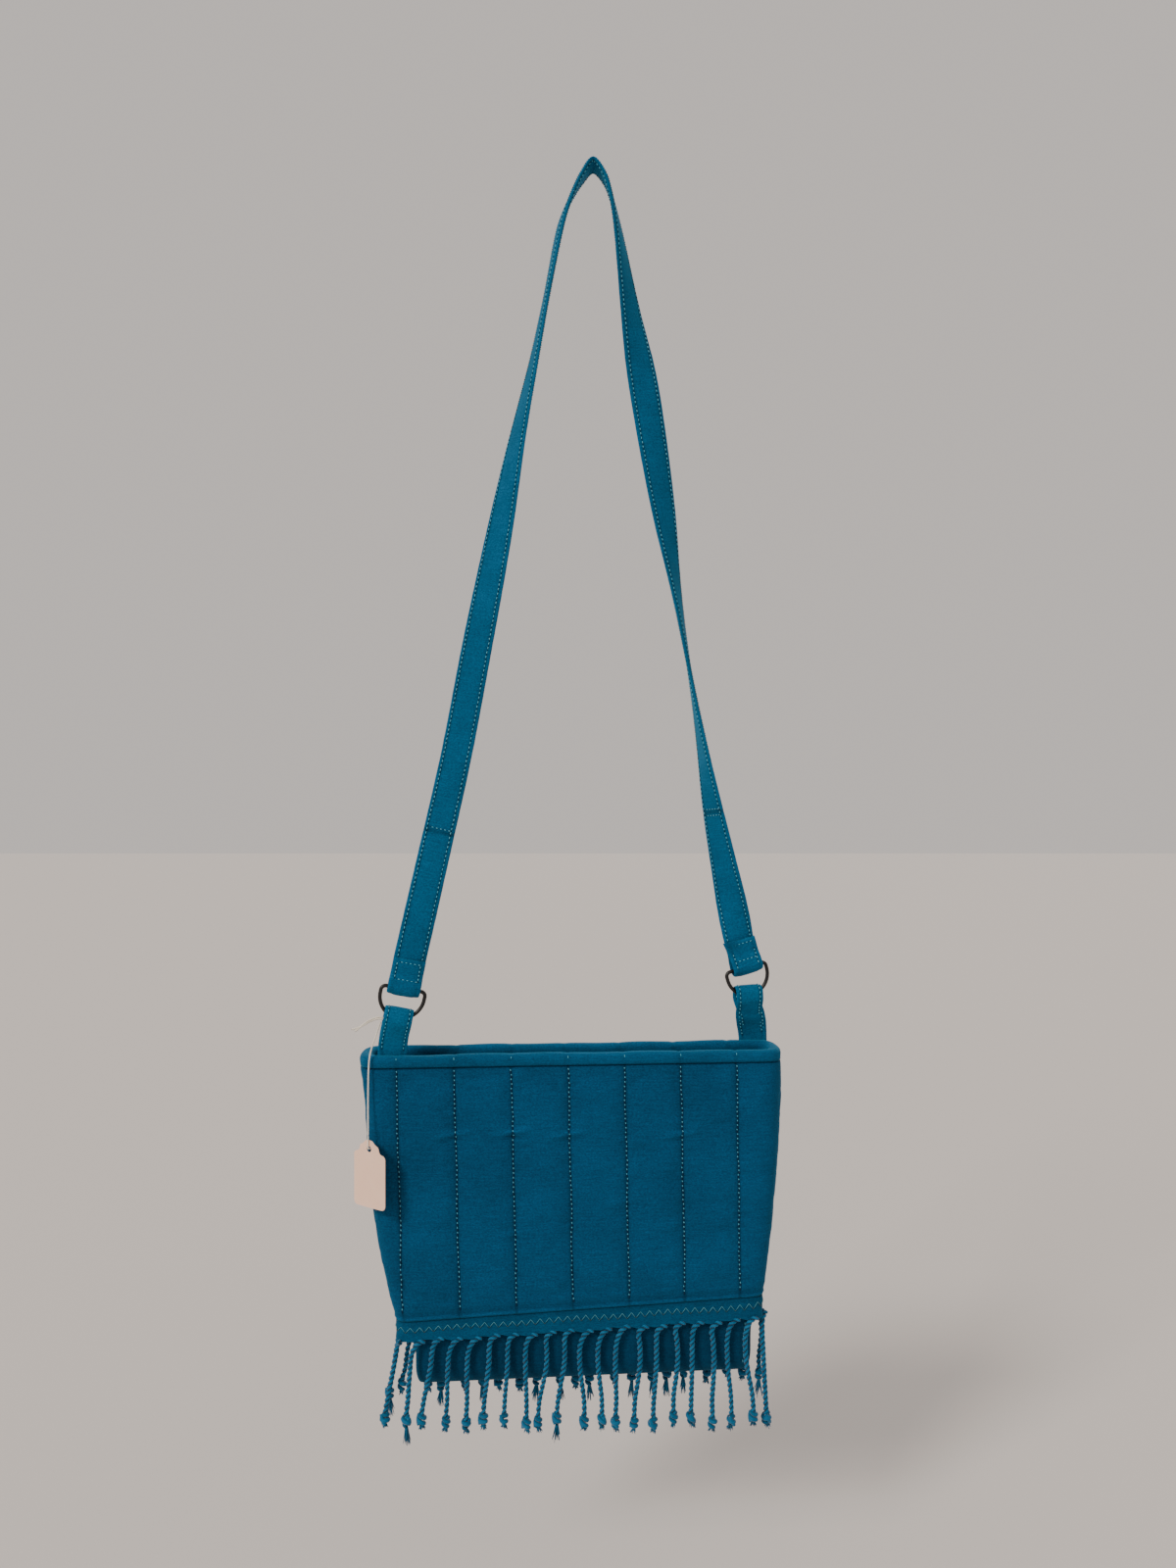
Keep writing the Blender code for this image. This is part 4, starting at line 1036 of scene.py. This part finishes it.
build_panel("front_quilt", -1, "front_panel")
build_panel("back_quilt", 1, "back_panel")


def surface_point(side, u, drop, lift):
    """A place above the quilted cloth, also on the rounded left end."""
    size = body_size(drop)
    past = clamp((END_ROUND - size[1] - u) / END_ROUND, 0.0, 0.95)
    round_off = (1 - past ** (2 / END_FULLNESS)) ** (END_FULLNESS / 2)
    return bag_point(u, side * (size[2] * round_off + panel_relief(side, drop, u)[0] + lift), drop)


for side, name in ((-1, "front"), (1, "back")):
    shape = Shape()
    facing = bag_way(0, side)
    for number in range(QUILT_LINES):
        drop = BINDING_DROP + 0.0018
        while drop < PANEL_DROP - 0.006:
            u = line_at(number, drop) + 0.0003 * math.sin(drop * 80 + number * 2.1)
            u += chance.uniform(-0.0003, 0.0003)
            a = surface_point(side, u, drop, 0.00024)
            b = surface_point(side, u + 0.0002, drop + 0.0010, 0.00024)
            c = surface_point(side, u, drop + 0.0028, 0.00018)
            shape.stitch(a, b, facing, FULL_THREAD, 0)
            # The dark capsule after each stitch is painted shade for the needle hole
            shape.stitch(b, c, facing, NEEDLE_HOLE, 1)
            drop += STITCH_PITCH
    shape.make(name + "_quilt_stitches", SEWING, "bag", "thread")


# Rim binding


def build_binding():
    """A padded band folded over the mouth's edge, nipped in at each quilting line."""
    slit = EDGE_THICK / 2 + GAP
    half = slit + BINDING_LEG
    turn = [math.pi * (i / 8) for i in range(9)]
    over = [(half * math.cos(a), 0.42 * (1 - math.sin(a) ** 0.8)) for a in turn]
    soft = [(half, f) for f in (0.95, 0.78, 0.6)] + over + [(-half, f) for f in (0.6, 0.78, 0.95)]
    section = [(out, BINDING_DROP * f, True) for out, f in soft]
    section += [(-slit, BINDING_DROP, False), (-slit, PANEL_TOP - GAP, False)]
    section += [(slit, PANEL_TOP - GAP, False), (slit, BINDING_DROP, False)]
    size = body_size(0.0)
    loop = LOOP + LOOP[:1]
    middle = [Vector(section_at(size, half, side, share)) for side, share in loop]
    rows = []
    for (side, share), here, length in zip(loop, middle, lengths(middle)):
        nip = hill(min(abs(here.x - quilt_at(n, 0.0)) for n in range(QUILT_LINES)) / 0.0016)
        wave = 0.0005 * nip + 0.0009 * (1 + rough((*here, 0.3), 26, 1.0))
        row = []
        for out, drop, is_soft in section:
            body = bulge = dip = 0.0
            if is_soft:
                body = math.sin(math.pi * min(1.0, drop / BINDING_DROP))
                bulge = 0.0004 * body + 0.0004 * rough((*here, drop), 90, 4.0) - 0.0006 * nip * body
                dip = wave * (1 - min(1.0, drop / (BINDING_DROP * 0.6)))
            u, v = section_at(size, half - out - math.copysign(bulge, out), side, share)
            # Painted light on the binding's top, painted shade in the nips at the quilting lines and along
            # its lower edge
            tone = 1.0 + 0.18 * (1 - drop / BINDING_DROP) - 0.28 * nip * body
            tone -= 0.12 if drop > BINDING_DROP * 0.9 else 0.0
            row.append((bag_point(u, v, drop + dip), (length, drop + out + 0.1), tone))
        row.append((None, (length, row[0][1][1] + 0.02), None))
        rows.append(row)
    shape = Shape()
    shape.grid(rows, wrap=True)
    shape.make("rim_band", [RIM_CLOTH], "bag", "binding_cloth", ["rim_binding"], weld=True)


build_binding()

rim_sewing = Shape()
for side in (-1, 1):
    face = side * (RIM_HALF_DEPTH - 0.00030)
    for number in range(QUILT_LINES):
        u = quilt_at(number, 0.0) + 0.0002
        a, b = bag_point(u, face, 0.0022), bag_point(u + 0.0002, face, 0.0042)
        rim_sewing.stitch(a, b, bag_way(0, side), THIN_THREAD, 0)
        a, b = bag_point(u, face, 0.0058), bag_point(u, face, 0.0072)
        # The lower, dark capsule is painted shade for the needle hole
        rim_sewing.stitch(a, b, bag_way(0, side), FINE_THREAD, 1)
rim_sewing.make("rim_stitches", SEWING, "bag", "thread")


# Lower body


def base_rows(shares, inset, outside):
    """Rows of cells round the pouch, uneven outside and plain inside."""
    rows = []
    for drop in (PANEL_DROP + (BODY_DROP - PANEL_DROP) * share for share in shares):
        flat = [section_at(base_size(drop), inset, side, share) for side, share in LOOP]
        row = []
        for (side, _), (u, v), length in zip(LOOP, flat, lengths([Vector(p) for p in flat])):
            # Painted shade inside the pouch; the outside gets an uneven random tone
            tone = 0.5
            if outside:
                fold = 0.00045 * rough((u * 34, drop * 14, side * 2.0))
                fold += 0.00020 * rough((u * 120, drop * 60, side * 9.0))
                v -= side * (0.0004 - fold) * min(1.0, abs(v) / 0.006)
                tone = 1.0 + 0.12 * rough((u * 40, drop * 30, 1.0))
            row.append((bag_point(u, v, drop), (length, drop), tone))
        rows.append(row + [(None, (length + 0.01, drop), None)])
    return rows


def close_below(shape, first):
    """Faces from the front to the back of the pouch's lowest ring, whose points start at number first."""
    wide = len(LOOP)
    front = len(SHARES[::2])
    for c in range(front - 1):
        a, b = first + c, first + c + 1
        d, e = first + (wide - c) % wide, first + (wide - c - 1) % wide
        if c == 0:
            shape.face((a, b, e))
        elif c == front - 2:
            shape.face((a, b, d))
        else:
            shape.face((a, b, e, d))


def build_base():
    shape = Shape()
    wide = len(LOOP)
    a = shape.grid(base_rows(BASE_SHARES, 0.0, True), wrap=True)
    b = shape.grid(base_rows(INNER_BASE_SHARES, BASE_WALL, False), wrap=True)
    for c in range(wide):
        d = (c + 1) % wide
        shape.face((a + c, a + d, b + d, b + c))
    close_below(shape, b - wide)
    close_below(shape, len(shape.points) - wide)
    shape.make("base_pouch", [BASE_CLOTH], "bag", "base_cloth", ["lower_body"])


build_base()
base_sewing = Shape()
for side in (-1, 1):
    for k in range(10):
        drop = PANEL_DROP + 0.0045 + 0.0040 * k
        right, _, depth = base_size(drop)
        u, v = right - END_ROUND * 0.45, side * depth * 0.93
        a, b = bag_point(u, v, drop), bag_point(u, v, drop + 0.0016)
        base_sewing.stitch(a, b, bag_way(0, side), FINE_THREAD, 0)
base_sewing.make("base_stitches", SEWING, "bag", "thread")


# Fringe: band, zigzag, twisted cords, knots and tufts


def band_route(side):
    """Points (u, v) along the middle of a fringe band, from the left seam to the right one."""
    end = [END_SHARE * i / 15 for i in range(16)]
    shares = end + [1 - share for share in reversed(end)]
    size, inset = base_size(PANEL_DROP), -(GAP + BAND_THICK / 2)
    return [Vector(section_at(size, inset, side, share)) for share in shares]


def along_route(route, length, side):
    """The place at a length along a route, with the directions along it and outward."""
    for a, b in zip(route, route[1:]):
        piece = (b - a).length
        if length <= piece or b is route[-1]:
            way = (b - a) / piece
            return a + way * min(length, piece), way, Vector((way.y, -way.x)) * -side
        length -= piece


def band_low(cut, pitch):
    return BAND_TOP + BAND_DROP + BAND_WAVE * math.sin(2 * math.pi * cut / (3.3 * pitch))


def build_band(name, side, node, route, total, pitch):
    section = [(0.5, f) for f in (0.0, 0.12, 0.3, 0.5, 0.7, 0.86, 0.96)] + [(0.25, 1.0), (-0.25, 1.0)]
    section += [(-0.5, f) for f in (0.96, 0.5, 0.0)]
    rows = []
    for cut in (GAP + (total - 2 * GAP) * k / BAND_COLUMNS for k in range(BAND_COLUMNS + 1)):
        place, _, away = along_route(route, cut, side)
        scallop = 0.0009 * (0.5 + 0.5 * math.cos(2 * math.pi * (cut / pitch - 0.62)))
        height = band_low(cut, pitch) + scallop - BAND_TOP
        row = []
        for out, share in section:
            drop = BAND_TOP + height * share
            lump = 0.00022 * rough((cut, drop, side), 260, 2.0) + 0.0002 * hill((share - 0.93) / 0.06)
            at = place + away * (BAND_THICK * out + (lump if out > 0 else 0.0))
            # Painted shade on the band's top under the lower seam, and a painted highlight on its rolled
            # lower edge
            tone = 0.72 + 0.28 * min(1.0, share / 0.25) + 0.25 * hill((share - 0.95) / 0.05)
            row.append((bag_point(at.x, at.y, drop), (cut, drop + out * 0.001), tone))
        rows.append(row + [(None, (cut, row[0][1][1] + 0.002), None)])
    shape = Shape()
    shape.grid(rows, wrap=True, caps=True)
    return shape.make(name, [BAND_CLOTH], "bag", "yarn", [node])


def build_zigzag(name, side, route, total):
    """The sewing thread across the band, paler on the upper half of each slant."""
    shape = Shape()
    marks = []
    for j in range(int(total / ZIGZAG_STEP) + 1):
        cut = min(total - GAP, 0.001 + ZIGZAG_STEP * j)
        place, _, away = along_route(route, cut, side)
        at = place + away * (BAND_THICK * 0.5 + 0.00022)
        drop = BAND_TOP + (ZIGZAG_HIGH if j % 2 else ZIGZAG_LOW) + 0.0004 * math.sin(cut * 90)
        marks.append((bag_point(at.x, at.y, drop), bag_way(*away)))
    for (start, _), (end, facing) in zip(marks, marks[1:]):
        middle = (start + end) / 2
        path = [start, middle + facing * 0.00015, end]
        shape.tube(path, [0.00024, 0.00030, 0.00024], 5, 0, lambda k, p: 0.18 + 0.46 * (p.z > middle.z))
    return shape.make(name, [PALE_THREAD], "bag", "thread")


def add_knot(cords, foot, thick, loose):
    """The cord wound round itself, nearly two turns, with one turn across."""
    radius = KNOT_RADIUS * loose.uniform(0.74, 0.90)
    spin, turns = loose.uniform(0, 6.28), loose.uniform(1.8, 2.3)
    tilt = loose.uniform(-0.5, 0.5)
    coil, radii = [], []
    for t in (i / (COIL_POINTS - 1) for i in range(COIL_POINTS)):
        a, reach = spin + 2 * math.pi * turns * t, radius * math.sin(math.pi * (0.15 + 0.7 * t))
        x, y = math.cos(a) * reach, math.sin(a) * reach
        coil.append(foot + Vector((x, y, KNOT_LENGTH * (0.15 - 1.45 * t) + tilt * x)))
        radii.append(COIL_RADIUS * thick * (0.72 + 0.33 * math.sin(math.pi * t)))

    # Painted shade towards the knot's middle, paler on its outer turns
    def tone(_, p):
        return 0.35 + 0.9 * min(1.0, math.hypot(p.x - foot.x, p.y - foot.y) / 0.0034) ** 2

    cords.tube(coil, radii, 8, 0, tone)
    cross = []
    for turn, fall in ((0.0, 0.0), (0.5, 0.35), (0.9, 0.75), (1.6, 1.2)):
        way = Vector((math.cos(spin + turn), math.sin(spin + turn), 0))
        cross.append(foot + way * radius * 1.1 - UPWARD * KNOT_LENGTH * fall)
    cords.tube(smooth_path(cross, 0.0006), CROSS_RADIUS * thick, 7, 0, 1.15)


def add_tuft(tufts, foot, tail, swing, loose):
    """The cut ends of the yarns below the knot."""
    root = foot - UPWARD * KNOT_LENGTH * 1.15
    for _ in range(STRANDS):
        a = loose.uniform(0, 6.28)
        spread = loose.uniform(0.0002, 0.0020) * (1.0 if tail == TUFT_LENGTH else 1.2)
        reach = tail * loose.uniform(0.55, 1.04)
        out = Vector((math.cos(a), math.sin(a), 0))
        curl = Vector((math.cos(a + 1.3), math.sin(a + 1.3), 0)) * loose.uniform(-0.0006, 0.0006)
        fibre = []
        for share in (0.0, 0.25, 0.5, 0.75, 1.0):
            shift = Vector((swing * share, 0, -reach * share))
            fibre.append(root + out * (0.0006 + spread * share**1.3) + curl * share * share + shift)
        shade = loose.uniform(0.6, 1.15)
        tufts.tube(fibre, [r * loose.uniform(0.85, 1.15) for r in STRAND_RADII], 4, 0, shade)


def cord_track(start, way, away, low, length, lean, loose):
    """Points down one cord: a hook out of the band's lower edge, then the cord's own lean and wander."""
    wander, depth = loose.uniform(-0.0021, 0.0021), loose.uniform(-0.0001, 0.0012)
    outer = min(abs(start.x) / 0.125, 1.05)
    lean += loose.uniform(-0.0026, 0.0022) + math.copysign(0.05 * outer**4 * (1.05 - outer), start.x)
    track = []
    for back, out, fall in ((0.0072, 0.0002, -0.0003), (0.0036, 0.0006, 0.0006), (0.0010, 0.0008, 0.0032)):
        at = start + way * back + away * out
        track.append(bag_point(at.x, at.y, low + fall))
    for share in (0.16, 0.36, 0.58, 0.8, 1.0):
        bend = wander * math.sin(math.pi * share * 1.6)
        at = start + Vector((lean * share + bend, 0.0)) + away * (CORD_OUTWARD + depth * share)
        track.append(bag_point(at.x, at.y, low + length * share))
    return track


def build_fringe(label, side, seed):
    luck, loose = random.Random(seed), random.Random(seed + 50)
    route = band_route(side)
    total = sum((b - a).length for a, b in zip(route, route[1:]))
    pitch = total / CORDS_PER_BAND
    band = build_band(label + "_band", side, label, route, total, pitch)
    zigzag = build_zigzag(label + "_zigzag", side, route, total)
    cords, tufts = Shape(), Shape()
    for number in range(CORDS_PER_BAND):
        middle = pitch * (number + 0.5)
        left, way, away = along_route(route, middle - CORD_RADIUS, side)
        start = (left + along_route(route, middle + CORD_RADIUS, side)[0]) / 2
        lean = CORD_LEAN + luck.uniform(-0.0015, 0.0015)
        length = CORD_LENGTH * luck.uniform(0.97, 1.03)
        length += FRONT_CORD_EXTRA * across_share(start.x) if side < 0 else -BACK_CORD_LESS
        tail = TASSEL_LENGTH if luck.random() < TASSEL_SHARE else TUFT_LENGTH
        swing = luck.uniform(-0.001, 0.001)
        low = band_low(middle - CORD_RADIUS, pitch)
        track = cord_track(start, way, away, low, length, lean, loose)
        foot = track[-1]
        thick = loose.uniform(0.95, 1.10)
        path = smooth_path(track + [foot - UPWARD * 0.0025], 0.00052)
        twisted(cords, path, PLY_RADIUS * thick, PLY_SWING * thick, PLY_PITCH, 8)
        add_knot(cords, foot, thick, loose)
        add_tuft(tufts, foot, tail, swing, loose)
    cords = cords.make(label + "_cords", [CORD_YARN], "bag", "yarn")
    tufts = tufts.make(label + "_tufts", [CORD_YARN], "bag", "yarn")


build_fringe("front_fringe", -1, 3)
build_fringe("back_fringe", 1, 8)


# Tabs


def build_tab(name, ring, pivot, place_along, v, flare=0.0):
    """A cloth strip from the bag up over the ring's arc and back, both legs sewn at the rim."""
    fold, down = ring[3:]
    radius = TAB_LOOP_ROOM + TAB_THICK / 2
    hub = pivot + down * (TAB_LOOP_ROOM - WIRE_RADIUS - TAB_WIRE_GAP)
    layer = (TAB_THICK + GAP) / 2
    foot_back = Vector((-math.sin(BAG_YAW), math.cos(BAG_YAW), 0))
    foot_along = Vector((math.cos(BAG_YAW), math.sin(BAG_YAW), 0))
    normal = down.cross(fold).normalized()
    if normal.dot(BACK) < 0:
        normal = -normal
    # Place, facing, half the room between the layers, direction across, and the share of the flare
    leg = [
        (pivot + down * TAB_LOOP_DROP, normal, radius, fold, 0.0),
        (pivot + down * (TAB_LOOP_DROP + TAB_CLOSE_DROP) / 2, normal, (radius + layer) / 2, fold, 0.4),
        (pivot + down * TAB_CLOSE_DROP, normal, layer, fold, 0.9),
        (bag_point(place_along, v, 0.0), foot_back, layer, foot_along, 1.0),
        (bag_point(place_along, v, TAB_SEWN), foot_back, layer, foot_along, 1.0),
    ]
    turn = [(place, fold) for place in half_turn(hub, normal, -down, radius)]
    flared = foot_along * flare
    rear = [(at + facing * reach + flared * share, across) for at, facing, reach, across, share in leg]
    front = [(at - facing * reach, across) for at, facing, reach, across, _ in leg]
    track = strip_track(rear[::-1] + turn + front, 0.0012)
    shape = Shape()
    strip(shape, track, TAB_WIDTH, TAB_THICK, TAB_SEAM, 7.0 + v)
    shape.make(name + "_strip", [TAB_CLOTH], "bag", "tab_cloth", [name])
    sewing = Shape()
    start, end = 0.013, track[-1][3] - 0.013
    for across in (-1, 1):
        edge = across * (TAB_WIDTH / 2 - TAB_SEAM)
        strip_stitches(sewing, track, edge, TAB_THICK, start, end, CLOSE_PITCH, THREAD)
    sewing.make(name + "_stitches", SEWING, "bag", "thread")


# The left tab is sewn to the binding's inside, the right one to its outside
INNER_FACE = RIM_HALF_DEPTH - 2 * BINDING_LEG - EDGE_THICK - 2 * GAP
TAB_LAYERS = TAB_THICK + GAP / 2
RIGHT_TAB_V = RIM_HALF_DEPTH + GAP + TAB_LAYERS
build_tab("left_tab", LEFT_RING, LEFT_PIVOT, LEFT_TAB_ALONG, -(INNER_FACE - GAP - TAB_LAYERS))
build_tab("right_tab", RIGHT_RING, RIGHT_PIVOT, RIGHT_TAB_ALONG, RIGHT_TAB_V, RIGHT_TAB_FLARE)

# Floor, lights and world

floor_paint = bpy.data.materials.new("floor_paint")
floor_paint.use_nodes = True
floor_shader = floor_paint.node_tree.nodes["Principled BSDF"]
floor_shader.inputs["Base Color"].default_value = (0.68, 0.64, 0.61, 1.0)
floor_shader.inputs["Roughness"].default_value = 1.0
floor_mesh = bpy.data.meshes.new("floor")
corners = [(x * FLOOR_REACH, y * FLOOR_REACH, FLOOR_HEIGHT) for x, y in ((-1, -1), (1, -1), (1, 1), (-1, 1))]
floor_mesh.from_pydata(corners, [], [(0, 1, 2, 3)])
floor_mesh.materials.append(floor_paint)
floor = add_object("floor", floor_mesh)

world = bpy.data.worlds.new("world")
world.use_nodes = True
world.node_tree.nodes["Background"].inputs[0].default_value = (0.64, 0.59, 0.555, 1.0)
world.node_tree.nodes["Background"].inputs[1].default_value = 1.0
bpy.context.scene.world = world


def soft_sun(name, towards, strength, angle, colour):
    data = bpy.data.lights.new(name, "SUN")
    data.energy, data.angle, data.color = strength, math.radians(angle), colour
    add_object(name, data).rotation_euler = Vector(towards).to_track_quat("-Z", "Y").to_euler()


soft_sun("key", (0.75, 0.85, -0.80), 2.0, 14, (1.0, 0.94, 0.86))
soft_sun("rear", (-0.3, -1.0, -0.5), 0.55, 40, (0.95, 0.97, 1.0))
